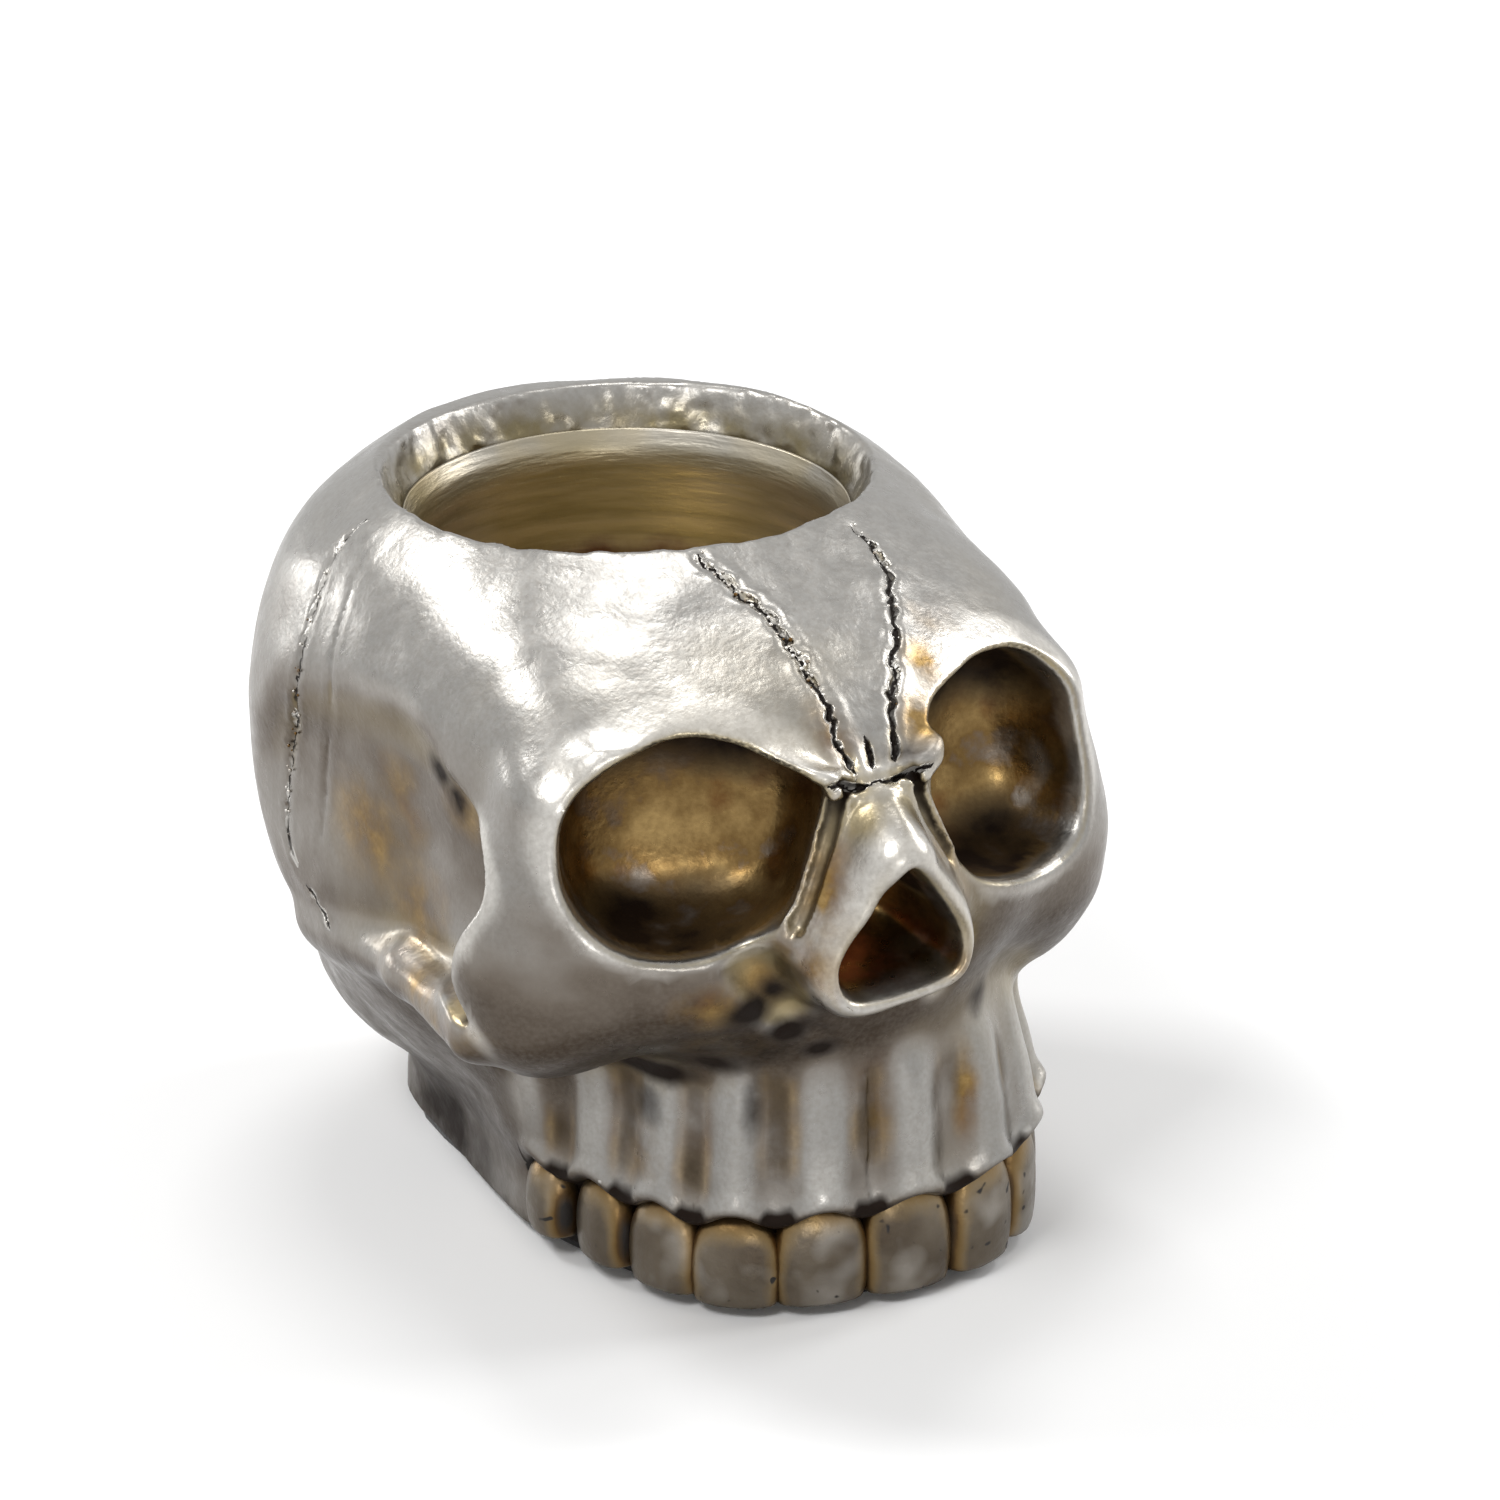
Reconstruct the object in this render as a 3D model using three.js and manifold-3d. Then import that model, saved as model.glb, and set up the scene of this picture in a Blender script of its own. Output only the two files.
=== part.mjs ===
// Skull candle holder: a hollow cast skull without its lower jaw, whose crown is cut off flat
// and sunk for a tealight. A thin cup lines the bowl, a plate closes the hollow underneath
// and a soft pad covers the footprint.
// Millimetres, +Z up. The face looks along -Y, the cup stands on the Z axis and the
// resting face of the pad lies at Z = 0.
import * as THREE from "three";
import { mergeVertices, toCreasedNormals } from "three/addons/utils/BufferGeometryUtils.js";
import Module from "manifold-3d";

// Driving dimensions
const RIM_HEIGHT = 74.5;
const RIM_RADIUS = 25.1;
const CHAMFER_HEIGHT = 5;
const PAD_THICKNESS = 1.2;
const PAD_INSET = 1;
const PLATE_THICKNESS = 2;
const PLATE_INSET = 2.4;
const WALL = 4.6;
const CLEARANCE = 0.3;

// The cup for the candle
const CUP_INNER_RADIUS = 21.6;
const CUP_DEPTH = 15;
const CUP_WALL = 0.8;
const CUP_FLOOR_FILLET = 1.6;

// Half the width of the head, and how far out its masses reach as shares of that
const HALF_WIDTH = 37.2;
const FOREHEAD_SHARE = 0.874;
const MIDFACE_SHARE = 0.847;
const CHEEK_SHARE = 0.704;
const ARCH_BACK_SHARE = 0.847;
const ARCH_MIDDLE_SHARE = 0.858;
const ARCH_FRONT_SHARE = 0.892;

// Masses of the head. Each is a rounded block: side0, ahead and z place its centre, the other
// lengths are its reach each way, and a power above 2 squares its shoulders.
const BRAINCASE = { ahead: -5, z: 48, side: HALF_WIDTH, back: 34.6, front: 46, down: 46, up: 36.5, power: 2 };
const FOREHEAD = {
  ahead: 16, z: 51, side: HALF_WIDTH * FOREHEAD_SHARE, back: 34, front: 34, down: 24.5, up: 24.5, power: 2.9,
};
const MASTOID = { side0: 21, ahead: -12, z: 20, side: 6.4, back: 9, front: 9, down: 7.5, up: 7.5, power: 2 };
const NECK = { ahead: -2, z: 6, side: 19.6, back: 23.2, front: 24, down: 26, up: 26, power: 3.2 };
const MIDFACE = {
  ahead: 24, z: 43, side: HALF_WIDTH * MIDFACE_SHARE, back: 24.5, front: 24.5, down: 16, up: 16, power: 2.7,
};
const CHEEKBONE = {
  side0: HALF_WIDTH * CHEEK_SHARE,
  ahead: 32.5, z: 40, side: 10.2, back: 10, front: 10, down: 13.2, up: 13.2, power: 2.1,
};
const JAW = { ahead: 0, z: 6, side: 23, back: 26, front: 26.8, down: 34, up: 62, power: 2.6 };
const JAW_TAPER = { foot: 10, top: 40, share: 0.17 };

// Rods of bone: two ends, each how far to the side, how far ahead and how high, and a radius at each
const EYE_PILLAR = { from: [27.5, 36.5, 57], to: [27.5, 37, 50], radius: 3.6, endRadius: 3.6 };
const BROW = [
  { from: [24.5, 40.6, 63.4], to: [16.5, 46.2, 65.2], radius: 2.4, endRadius: 2.9 },
  { from: [16.5, 46.2, 65.2], to: [9.5, 48.8, 63.4], radius: 2.9, endRadius: 2.9 },
  { from: [9.5, 48.8, 63.4], to: [4.6, 49, 60.4], radius: 2.9, endRadius: 3.1 },
];
const ARCH_MIDDLE = [HALF_WIDTH * ARCH_MIDDLE_SHARE, 14, 31.2];
const CHEEK_ARCH = [
  { from: [HALF_WIDTH * ARCH_BACK_SHARE, -8, 27.6], to: ARCH_MIDDLE, radius: 2, endRadius: 2.2 },
  { from: ARCH_MIDDLE, to: [HALF_WIDTH * ARCH_FRONT_SHARE, 31, 31.8], radius: 2.2, endRadius: 2.8 },
];
const NOSE_BRIDGE = { from: [0, 47, 57], to: [0, 55.2, 52.4], radius: 2.2, endRadius: 2.4 };

// How widely the masses run into one another
const BROAD_BLEND = 6;
const BLEND = 5;
const TIGHT_BLEND = 3;
const NOSE_BLEND = 2.5;
const NOSE_BONE_BLEND = 2;
const MIDLINE_SOFTNESS = 0.55;

// The crown falls away from the bowl's rim
const CROWN_FALL = THREE.MathUtils.degToRad(27);
const CROWN_RADIUS = 27;

// The left side of the face sits a little higher and narrower than the right
const FACE_LIFT = { height: 1.3, tuck: 0.9, near: 4, far: 26, back: 12, front: 30, foot: 20, top: 34 };

// Eye sockets: the middle of their plane, their outlines in it from the middle outwards and up,
// and the bowl that bounds their depth
const SOCKET = { side: 18, ahead: 46, z: 53 };
const SOCKET_SPLAY = THREE.MathUtils.degToRad(24);
const SOCKET_BOWL = {
  side0: -0.4, ahead: 2.5, z: 0, side: 15.5, back: 15, front: 15, down: 13.8, up: 13.8, power: 2.6,
};
const RIGHT_SOCKET_OUTLINE = [
  [12.2, -0.5], [12, 3.3], [10.3, 6.2], [6, 9], [0, 10.4], [-4.3, 10], [-8, 8.6], [-12, 6.7], [-13.4, 5.4],
  [-12.3, 1.5], [-10.4, -4.4], [-7.9, -7.3], [-4.5, -8.9], [0, -9.8], [4.5, -9.7], [8.3, -7.9], [11.1, -4.3],
];
const LEFT_SOCKET_OUTLINE = [
  [-6.9, 10.3], [-0.4, 11.2], [6, 10.2], [9.8, 8], [12.2, 4.4], [12.7, -1.6], [12.8, -7.2],
  [11, -10.6], [5.4, -11.5], [-3.6, -8.9], [-7.9, -5.6], [-10.6, -0.1], [-11.1, 4.2], [-10, 8.2],
];

// Hollows of the temples: their outline, each point how far ahead and how high, and their floor,
// which runs inwards from the back to the front and bends over its middle
const TEMPLE_OUTLINE = [
  [-9, 41], [-5, 50], [4, 55], [13, 56.6], [22.5, 56.8], [28.5, 54.6], [33, 51.4], [35.2, 48],
  [33.6, 43.6], [31.4, 38.6], [33.4, 33.6], [26, 34], [12, 33.4], [-3, 31.4],
];
const TEMPLE_FLOOR = { back: -8, backSide: 37, front: 30, frontSide: 28.6, middle: 45, bend: 42 };
const TEMPLE_EDGE = { back: 14, backBlend: 7, front: 27, frontBlend: 2 };
const TEMPLE_WALL = { side: 34, leanShare: 0.85 };

// The nose and its opening, seen from the front: each point how far across and how high
const NOSE_OUTLINE = [
  [-0.3, 53], [-3.5, 48.2], [-5.7, 44.8], [-6.7, 42.4], [-6.2, 40.1], [-4.1, 38.9],
  [1, 39], [5.2, 39.7], [6.6, 41.2], [6.5, 43.6], [4.6, 47.2], [2.3, 50.4],
];
const NOSE = {
  tip: 56.8, root: 40, top: 59.5, lip: 1.7, floorAhead: 43, flareFoot: 37, flareTop: 47,
  lowFlareShare: 0.06, highFlareShare: 0.32, narrowingShare: 0.12,
};
const NOSE_BONE = { peak: 53.8, half: 6.8, rise: 14.5, softness: 1.2, thickness: 1.5, foot: 45.5, shift: 0.4 };
const NOSTRIL_ROUNDING = 5;

// The jaw sits turned and shifted under the face, as it was sculpted
const JAW_PIVOT = 20;
const JAW_TURN = THREE.MathUtils.degToRad(8.5);
const JAW_SHIFT = 6;
const JAW_TURN_TOP = 44;
const JAW_TURN_FOOT = 24;
const JAW_SPLAY = { front: 18, back: -2, near: 4, far: 12, foot: 16, top: 36, widthShare: 0.2 };
const JAW_FLARE = { near: 4, far: 16, widthShare: 0.06 };
const GUM = { level: 10.4, step: 2.1, softness: 0.9, leftRiseShare: 0.115, rightFallShare: 0.048 };

// Teeth from the middle outwards on each side: width, height, how far the foot hangs clear
const RIGHT_TEETH = [
  { width: 9.4, height: 10.5, lift: 0 },
  { width: 8.8, height: 9.5, lift: 0 },
  { width: 8.2, height: 9.7, lift: 0.3 },
  { width: 7.6, height: 9.5, lift: 0.7 },
  { width: 6.8, height: 9.1, lift: 1.2 },
];
const LEFT_TEETH = [
  { width: 9.4, height: 11.3, lift: 0 },
  { width: 8.8, height: 12.1, lift: 0.2 },
  { width: 8.2, height: 12.1, lift: 0.5 },
  { width: 7.4, height: 11.5, lift: 0.8 },
  { width: 6.4, height: 10.5, lift: 1.6 },
];
const TOOTH_DEPTH = 4.8;
const TOOTH_INSET = 1.9;
const TOOTH_POWER = 3.2;

// Fineness of the surfaces
const HEAD_SEGMENTS = 18;
const NOSE_SEGMENTS = 7;
const SOCKET_SEGMENTS = 7;
const NOSTRIL_SEGMENTS = 5;
const TOOTH_SEGMENTS = 2;
const HOLLOW_SEGMENTS = 5;
const ROUND_SEGMENTS = 48;
const OUTLINE_POINTS = 48;
const LOOP_POINTS = 48;
const CREASE = THREE.MathUtils.degToRad(38);

// Rays are cast from here to find the surface of the head and of its hollow
const HEAD_HEART = { ahead: 24, z: 44 };
const NOSE_HEART = { ahead: 49, z: 45 };
const NOSTRIL_HEART = { ahead: 50, z: 43.5 };
const HOLLOW_HEART = { ahead: 2, z: 27 };
const FOOT_HEART = 12;
const FARTHEST = 90;
const STRIDE = 0.9;
const STRIDE_SHARE = 0.4;
const HALVINGS = 12;

// Derived levels
const CAST_FOOT = PAD_THICKNESS;
const PLATE_TOP = CAST_FOOT + PLATE_THICKNESS;
const CHAMFER_FOOT = RIM_HEIGHT - CHAMFER_HEIGHT;
const CUP_RADIUS = CUP_INNER_RADIUS + CUP_WALL;
const POCKET_RADIUS = CUP_RADIUS + CLEARANCE;
const CUP_TOP = CHAMFER_FOOT;
const CUP_FLOOR = CUP_TOP - CUP_DEPTH;
const POCKET_FLOOR = CUP_FLOOR - CUP_WALL;
const HOLLOW_CEILING = POCKET_FLOOR - WALL;
const ABOVE_RIM = RIM_HEIGHT + WALL;
const BELOW_FOOT = -WALL;
const BEFORE_NOSE = NOSE.tip + WALL;
const NOSE_SLANT = Math.atan2(NOSE_BONE.half, NOSE_BONE.rise);
const RIGHT_SOCKET_LOOP = smoothLoop(RIGHT_SOCKET_OUTLINE);
const LEFT_SOCKET_LOOP = smoothLoop(LEFT_SOCKET_OUTLINE);
const TEMPLE_LOOP = smoothLoop(TEMPLE_OUTLINE);
const NOSE_LOOP = smoothLoop(NOSE_OUTLINE);

const wasm = await Module();
wasm.setup();

// Smooth joins and cuts of signed distances
function join(first, second, blend) {
  const share = THREE.MathUtils.clamp(0.5 + (0.5 * (second - first)) / blend, 0, 1);
  return second + (first - second) * share - blend * share * (1 - share);
}

function common(first, second, blend) {
  return -join(-first, -second, blend);
}

// Distance to a rounded block; a power above 2 squares its shoulders
function block(mass, side, ahead, z) {
  const offsets = [side - (mass.side0 ?? 0), ahead - mass.ahead, z - mass.z];
  const reaches = [mass.side, offsets[1] < 0 ? mass.back : mass.front, offsets[2] < 0 ? mass.down : mass.up];
  let sum = 0;
  let slope = 0;
  offsets.forEach((offset, axis) => {
    const share = Math.abs(offset) / reaches[axis];
    sum += share ** mass.power;
    slope += (share ** (mass.power - 1) / reaches[axis]) ** 2;
  });
  if (sum === 0) return -mass.side;
  const size = sum ** (1 / mass.power);
  return (size - 1) / (Math.sqrt(slope) * size ** (1 - mass.power));
}

// Distance to a rod whose radius runs from its start to its end
function rod(bone, side, ahead, z) {
  const start = new THREE.Vector3(...bone.from);
  const along = new THREE.Vector3(...bone.to).sub(start);
  const offset = new THREE.Vector3(side, ahead, z).sub(start);
  const share = THREE.MathUtils.clamp(offset.dot(along) / along.lengthSq(), 0, 1);
  const radius = THREE.MathUtils.lerp(bone.radius, bone.endRadius, share);
  return offset.addScaledVector(along, -share).length() - radius;
}

// A smooth closed loop through the points of an outline
function smoothLoop(outline) {
  const points = outline.map(([u, v]) => new THREE.Vector3(u, v, 0));
  return new THREE.CatmullRomCurve3(points, true, "catmullrom").getPoints(LOOP_POINTS).slice(1);
}

// Distance in a plane to a closed loop, below zero inside it
function within(loop, u, v) {
  let nearest = Infinity;
  let inside = false;
  loop.forEach((start, index) => {
    const end = loop[(index + 1) % loop.length];
    const run = end.x - start.x;
    const rise = end.y - start.y;
    const along = ((u - start.x) * run + (v - start.y) * rise) / (run * run + rise * rise);
    const share = THREE.MathUtils.clamp(along, 0, 1);
    nearest = Math.min(nearest, Math.hypot(u - start.x - run * share, v - start.y - rise * share));
    const crosses = start.y > v !== end.y > v;
    if (crosses && u < start.x + ((v - start.y) / rise) * run) inside = !inside;
  });
  return inside ? -nearest : nearest;
}

// A mirrored distance from the middle plane, with no crease in the middle
function soften(x) {
  return Math.hypot(x, MIDLINE_SOFTNESS);
}

// Where a point lies in an even face, of which the left side is lifted and tucked in
function facePlace(x, y, z) {
  const ahead = -y;
  const aside = THREE.MathUtils.smoothstep(x, FACE_LIFT.near, FACE_LIFT.far);
  const share = aside * THREE.MathUtils.smoothstep(ahead, FACE_LIFT.back, FACE_LIFT.front);
  const rising = THREE.MathUtils.smoothstep(z, FACE_LIFT.foot, FACE_LIFT.top);
  return [soften(x) + FACE_LIFT.tuck * share, ahead, z - FACE_LIFT.height * share * rising];
}

// The bony nose round its opening, which widens towards the face, and the bridge above it
function nose(x, y, z) {
  const [side, ahead, level] = facePlace(x, y, z);
  const rising = THREE.MathUtils.smoothstep(level, NOSE.flareFoot, NOSE.flareTop);
  const flare = THREE.MathUtils.lerp(NOSE.lowFlareShare, NOSE.highFlareShare, rising) * (NOSE.tip - ahead);
  const hood = common(within(NOSE_LOOP, x, level) - NOSE.lip - flare, ahead - NOSE.tip, NOSE_BLEND);
  const flank = Math.hypot(x - NOSE_BONE.shift, NOSE_BONE.softness) * Math.cos(NOSE_SLANT)
    + (level - NOSE_BONE.peak) * Math.sin(NOSE_SLANT);
  let bone = common(flank - NOSE_BONE.thickness - flare, ahead - NOSE.tip, NOSE_BONE_BLEND);
  bone = common(bone, level - NOSE.top, TIGHT_BLEND);
  bone = common(bone, NOSE_BONE.foot - level, TIGHT_BLEND);
  const shaft = common(join(hood, bone, NOSE_BONE_BLEND), NOSE.root - ahead, TIGHT_BLEND);
  return join(shaft, rod(NOSE_BRIDGE, side, ahead, level), NOSE_BLEND);
}

// The nose opening, which narrows inwards
function nostril(x, y, z) {
  const [, ahead, level] = facePlace(x, y, z);
  const narrowing = NOSE.narrowingShare * Math.max(NOSE.tip - ahead, 0);
  const opening = common(within(NOSE_LOOP, x, level) + narrowing, NOSE.floorAhead - ahead, NOSTRIL_ROUNDING);
  return Math.max(opening, ahead - BEFORE_NOSE);
}

// The eye socket on one side of the face
function socket(x, y, z) {
  const [side, ahead, level] = facePlace(x, y, z);
  const across = side - SOCKET.side;
  const depth = ahead - SOCKET.ahead;
  const u = across * Math.cos(SOCKET_SPLAY) - depth * Math.sin(SOCKET_SPLAY);
  const w = across * Math.sin(SOCKET_SPLAY) + depth * Math.cos(SOCKET_SPLAY);
  const v = level - SOCKET.z;
  const plane = within(x < 0 ? RIGHT_SOCKET_LOOP : LEFT_SOCKET_LOOP, u, v);
  return common(plane, block(SOCKET_BOWL, u, w, v), TIGHT_BLEND);
}

// Where a point lies in the turned frame of the jaw
function jawPlace(x, ahead, z) {
  const share = 1 - THREE.MathUtils.smoothstep(z, JAW_TURN_FOOT, JAW_TURN_TOP);
  const turn = JAW_TURN * share;
  const across = x - JAW_SHIFT * share;
  const forward = ahead - JAW_PIVOT;
  return {
    side: across * Math.cos(turn) + forward * Math.sin(turn),
    forward: forward * Math.cos(turn) - across * Math.sin(turn),
  };
}

// How wide an even jaw is beside this one, which splays out at the back on the right and flares on the left
function evenShare(across, forward, z) {
  const behind = THREE.MathUtils.smoothstep(-forward, -JAW_SPLAY.front, -JAW_SPLAY.back);
  const right = THREE.MathUtils.smoothstep(-across, JAW_SPLAY.near, JAW_SPLAY.far);
  const left = THREE.MathUtils.smoothstep(across, JAW_FLARE.near, JAW_FLARE.far);
  const low = 1 - THREE.MathUtils.smoothstep(z, JAW_SPLAY.foot, JAW_SPLAY.top);
  return 1 - low * (JAW_SPLAY.widthShare * behind * right + JAW_FLARE.widthShare * left);
}

// The upper jaw, drawn in below its gum line
function jaw(x, ahead, z) {
  const place = jawPlace(x, ahead, z);
  const riseShare = place.side > 0 ? GUM.leftRiseShare : -GUM.rightFallShare;
  const line = GUM.level + riseShare * Math.max(JAW.front - place.forward, 0);
  const gum = GUM.step * (1 - THREE.MathUtils.smoothstep(z, line - GUM.softness, line + GUM.softness));
  const taper = 1 + JAW_TAPER.share * THREE.MathUtils.smoothstep(z, JAW_TAPER.foot, JAW_TAPER.top);
  const even = place.side * evenShare(place.side, place.forward, z);
  return block(JAW, soften(even) * taper, place.forward, z) + gum;
}

// The floor of the temple's hollow: how far out it lies
function templeFloor(ahead, z) {
  const share = (ahead - TEMPLE_FLOOR.back) / (TEMPLE_FLOOR.front - TEMPLE_FLOOR.back);
  const bend = (z - TEMPLE_FLOOR.middle) ** 2 / (2 * TEMPLE_FLOOR.bend);
  return THREE.MathUtils.lerp(TEMPLE_FLOOR.backSide, TEMPLE_FLOOR.frontSide, share) + bend;
}

// The hollow of the temple on one side, above the arch of the cheek
function temple(x, y, z) {
  const [side, ahead, level] = facePlace(x, y, z);
  const lean = TEMPLE_WALL.leanShare * Math.max(TEMPLE_WALL.side - side, 0);
  return common(within(TEMPLE_LOOP, ahead, level) + lean, templeFloor(ahead, level) - side, TIGHT_BLEND);
}

// How softly the temple's hollow runs out into the head: widely at the back, crisply at the front
function templeBlend(ahead) {
  const share = THREE.MathUtils.smoothstep(ahead, TEMPLE_EDGE.back, TEMPLE_EDGE.front);
  return THREE.MathUtils.lerp(TEMPLE_EDGE.backBlend, TEMPLE_EDGE.frontBlend, share);
}

// The head with the hollows of its temples, without its nose and its openings
function head(x, y, z) {
  const even = [soften(x), -y, z];
  const place = facePlace(x, y, z);
  let distance = join(block(BRAINCASE, ...even), block(FOREHEAD, ...place), BROAD_BLEND);
  for (const mass of [MASTOID, NECK]) distance = join(distance, block(mass, ...even), BLEND);
  for (const mass of [MIDFACE, CHEEKBONE]) distance = join(distance, block(mass, ...place), BLEND);
  distance = join(distance, rod(EYE_PILLAR, ...place), BLEND);
  for (const bone of BROW) distance = join(distance, rod(bone, ...place), BLEND);
  distance = join(distance, jaw(x, -y, z), BLEND);
  const beyond = Math.hypot(x, y) - CROWN_RADIUS;
  const crown = (z - RIM_HEIGHT) * Math.cos(CROWN_FALL) + beyond * Math.sin(CROWN_FALL);
  distance = common(distance, crown, BLEND);
  distance = common(distance, -temple(x, y, z), templeBlend(-y));
  for (const bone of CHEEK_ARCH) distance = join(distance, rod(bone, ...place), BROAD_BLEND);
  return distance;
}

// What is left for the hollow once every wall has its thickness
function hollow(x, y, z) {
  const opened = Math.min(socket(x, y, z), nostril(x, y, z));
  return Math.max(head(x, y, z) + WALL, WALL - opened, z - HOLLOW_CEILING);
}

// The value of a field along a ray from a heart inside the body
function alongRay(field, heart, direction) {
  return (reach) => field(
    direction.x * reach + (heart.x ?? 0),
    direction.y * reach - heart.ahead,
    direction.z * reach + heart.z,
  );
}

// Where a ray crosses the surface between a reach inside the body and one outside it
function crossing(at, from, to) {
  let inside = from;
  let outside = to;
  for (let count = 0; count < HALVINGS; count += 1) {
    const middle = (inside + outside) / 2;
    if (at(middle) > 0) outside = middle;
    else inside = middle;
  }
  return inside;
}

// The last reach of a ray that is still inside a field
function outermost(field, heart, direction) {
  const at = alongRay(field, heart, direction);
  let outside = FARTHEST;
  let inside = FARTHEST - STRIDE;
  while (inside > 0 && at(inside) > 0) {
    outside = inside;
    inside -= Math.max(STRIDE, at(outside) * STRIDE_SHARE);
  }
  return crossing(at, Math.max(inside, 0), outside);
}

// The first reach of a ray at which it leaves a field
function innermost(field, heart, direction) {
  const at = alongRay(field, heart, direction);
  let inside = 0;
  while (inside < FARTHEST && at(inside + STRIDE) < 0) inside += STRIDE;
  return crossing(at, inside, inside + STRIDE);
}

// A ball whose points are moved along their rays on to a field's surface
function moulded(field, search, heart, detail) {
  const geometry = new THREE.IcosahedronGeometry(1, detail);
  const position = geometry.attributes.position;
  const direction = new THREE.Vector3();
  for (let index = 0; index < position.count; index += 1) {
    direction.fromBufferAttribute(position, index).normalize();
    const reach = search(field, heart, direction);
    position.setXYZ(
      index,
      direction.x * reach + (heart.x ?? 0),
      direction.y * reach - heart.ahead,
      direction.z * reach + heart.z,
    );
  }
  return geometry;
}

// A ball pressed into a rounded block with square shoulders
function pressed(side, front, up, power, detail) {
  const geometry = new THREE.IcosahedronGeometry(1, detail);
  const position = geometry.attributes.position;
  const point = new THREE.Vector3();
  for (let index = 0; index < position.count; index += 1) {
    point.fromBufferAttribute(position, index).normalize();
    const sum = Math.abs(point.x) ** power + Math.abs(point.y) ** power + Math.abs(point.z) ** power;
    point.multiplyScalar(sum ** (-1 / power));
    position.setXYZ(index, point.x * side, point.y * front, point.z * up);
  }
  return geometry;
}

// A closed solid from a geometry, with its seams welded and its empty triangles dropped
function solid(geometry) {
  const bare = geometry.clone();
  bare.deleteAttribute("normal");
  bare.deleteAttribute("uv");
  const merged = mergeVertices(bare);
  const corners = [];
  for (let start = 0; start < merged.index.count; start += 3) {
    const [a, b, c] = [0, 1, 2].map((step) => merged.index.getX(start + step));
    if (a !== b && b !== c && c !== a) corners.push(a, b, c);
  }
  return new wasm.Manifold(new wasm.Mesh({
    numProp: 3,
    vertProperties: new Float32Array(merged.attributes.position.array),
    triVerts: new Uint32Array(corners),
  }));
}

function geometryOf(manifold) {
  const mesh = manifold.getMesh();
  const geometry = new THREE.BufferGeometry();
  geometry.setAttribute("position", new THREE.BufferAttribute(new Float32Array(mesh.vertProperties), 3));
  geometry.setIndex(new THREE.BufferAttribute(new Uint32Array(mesh.triVerts), 1));
  return toCreasedNormals(geometry, CREASE);
}

// A solid of revolution about the Z axis from points of radius and height
function turned(profile) {
  const points = profile.map(([radius, height]) => new THREE.Vector2(radius, height));
  return new THREE.LatheGeometry(points, ROUND_SEGMENTS).rotateX(Math.PI / 2);
}

// The outline of the head at a level, drawn in by an inset
function footprint(level, inset) {
  const field = (x, y) => head(x, y, level);
  return Array.from({ length: OUTLINE_POINTS }, (unused, step) => {
    const angle = (step / OUTLINE_POINTS) * 2 * Math.PI;
    const direction = new THREE.Vector3(Math.cos(angle), Math.sin(angle), 0);
    const reach = outermost(field, { ahead: FOOT_HEART, z: level }, direction) - inset;
    return new THREE.Vector2(direction.x * reach, direction.y * reach - FOOT_HEART);
  });
}

function slab(outline, foot, thickness) {
  return new THREE.ExtrudeGeometry(new THREE.Shape(outline), { depth: thickness, bevelEnabled: false })
    .translate(0, 0, foot);
}

// The arch of teeth in the jaw's frame, from the middle to the end of one side
function toothArch() {
  const points = Array.from({ length: OUTLINE_POINTS }, (unused, step) => {
    const angle = (step / (OUTLINE_POINTS - 1)) * (Math.PI / 2);
    const across = JAW.side * Math.sin(angle) ** (2 / JAW.power);
    const forward = JAW.front * Math.cos(angle) ** (2 / JAW.power);
    return new THREE.Vector3(across, forward, 0);
  });
  return new THREE.CatmullRomCurve3(points);
}

function toothSolids() {
  const arch = toothArch();
  const length = arch.getLength();
  const solids = [];
  for (const hand of [-1, 1]) {
    let travelled = 0;
    for (const tooth of hand < 0 ? RIGHT_TEETH : LEFT_TEETH) {
      const share = (travelled + tooth.width / 2) / length;
      travelled += tooth.width;
      const place = arch.getPointAt(share);
      const heading = arch.getTangentAt(share);
      const outward = new THREE.Vector2(-heading.y, heading.x);
      const even = hand * (place.x - outward.x * TOOTH_INSET);
      const forward = place.y - outward.y * TOOTH_INSET;
      const across = even / evenShare(even, forward, 0);
      const crown = tooth.height - tooth.lift;
      const geometry = pressed(tooth.width / 2, TOOTH_DEPTH / 2, crown / 2, TOOTH_POWER, TOOTH_SEGMENTS)
        .rotateZ(hand * Math.atan2(outward.x, outward.y))
        .translate(across, -forward, CAST_FOOT + tooth.lift + crown / 2)
        .rotateZ(-JAW_TURN)
        .translate(JAW_SHIFT, -JAW_PIVOT, 0);
      solids.push(solid(geometry));
    }
  }
  return solids;
}

function socketSolid(hand) {
  const heart = { x: hand * SOCKET.side, ahead: SOCKET.ahead, z: SOCKET.z };
  return solid(moulded(socket, innermost, heart, SOCKET_SEGMENTS));
}

function bowlSolid() {
  const slope = (RIM_RADIUS - POCKET_RADIUS) / CHAMFER_HEIGHT;
  return solid(turned([
    [0, POCKET_FLOOR],
    [POCKET_RADIUS, POCKET_FLOOR],
    [POCKET_RADIUS, CHAMFER_FOOT],
    [RIM_RADIUS + slope * (ABOVE_RIM - RIM_HEIGHT), ABOVE_RIM],
    [0, ABOVE_RIM],
  ]));
}

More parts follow.
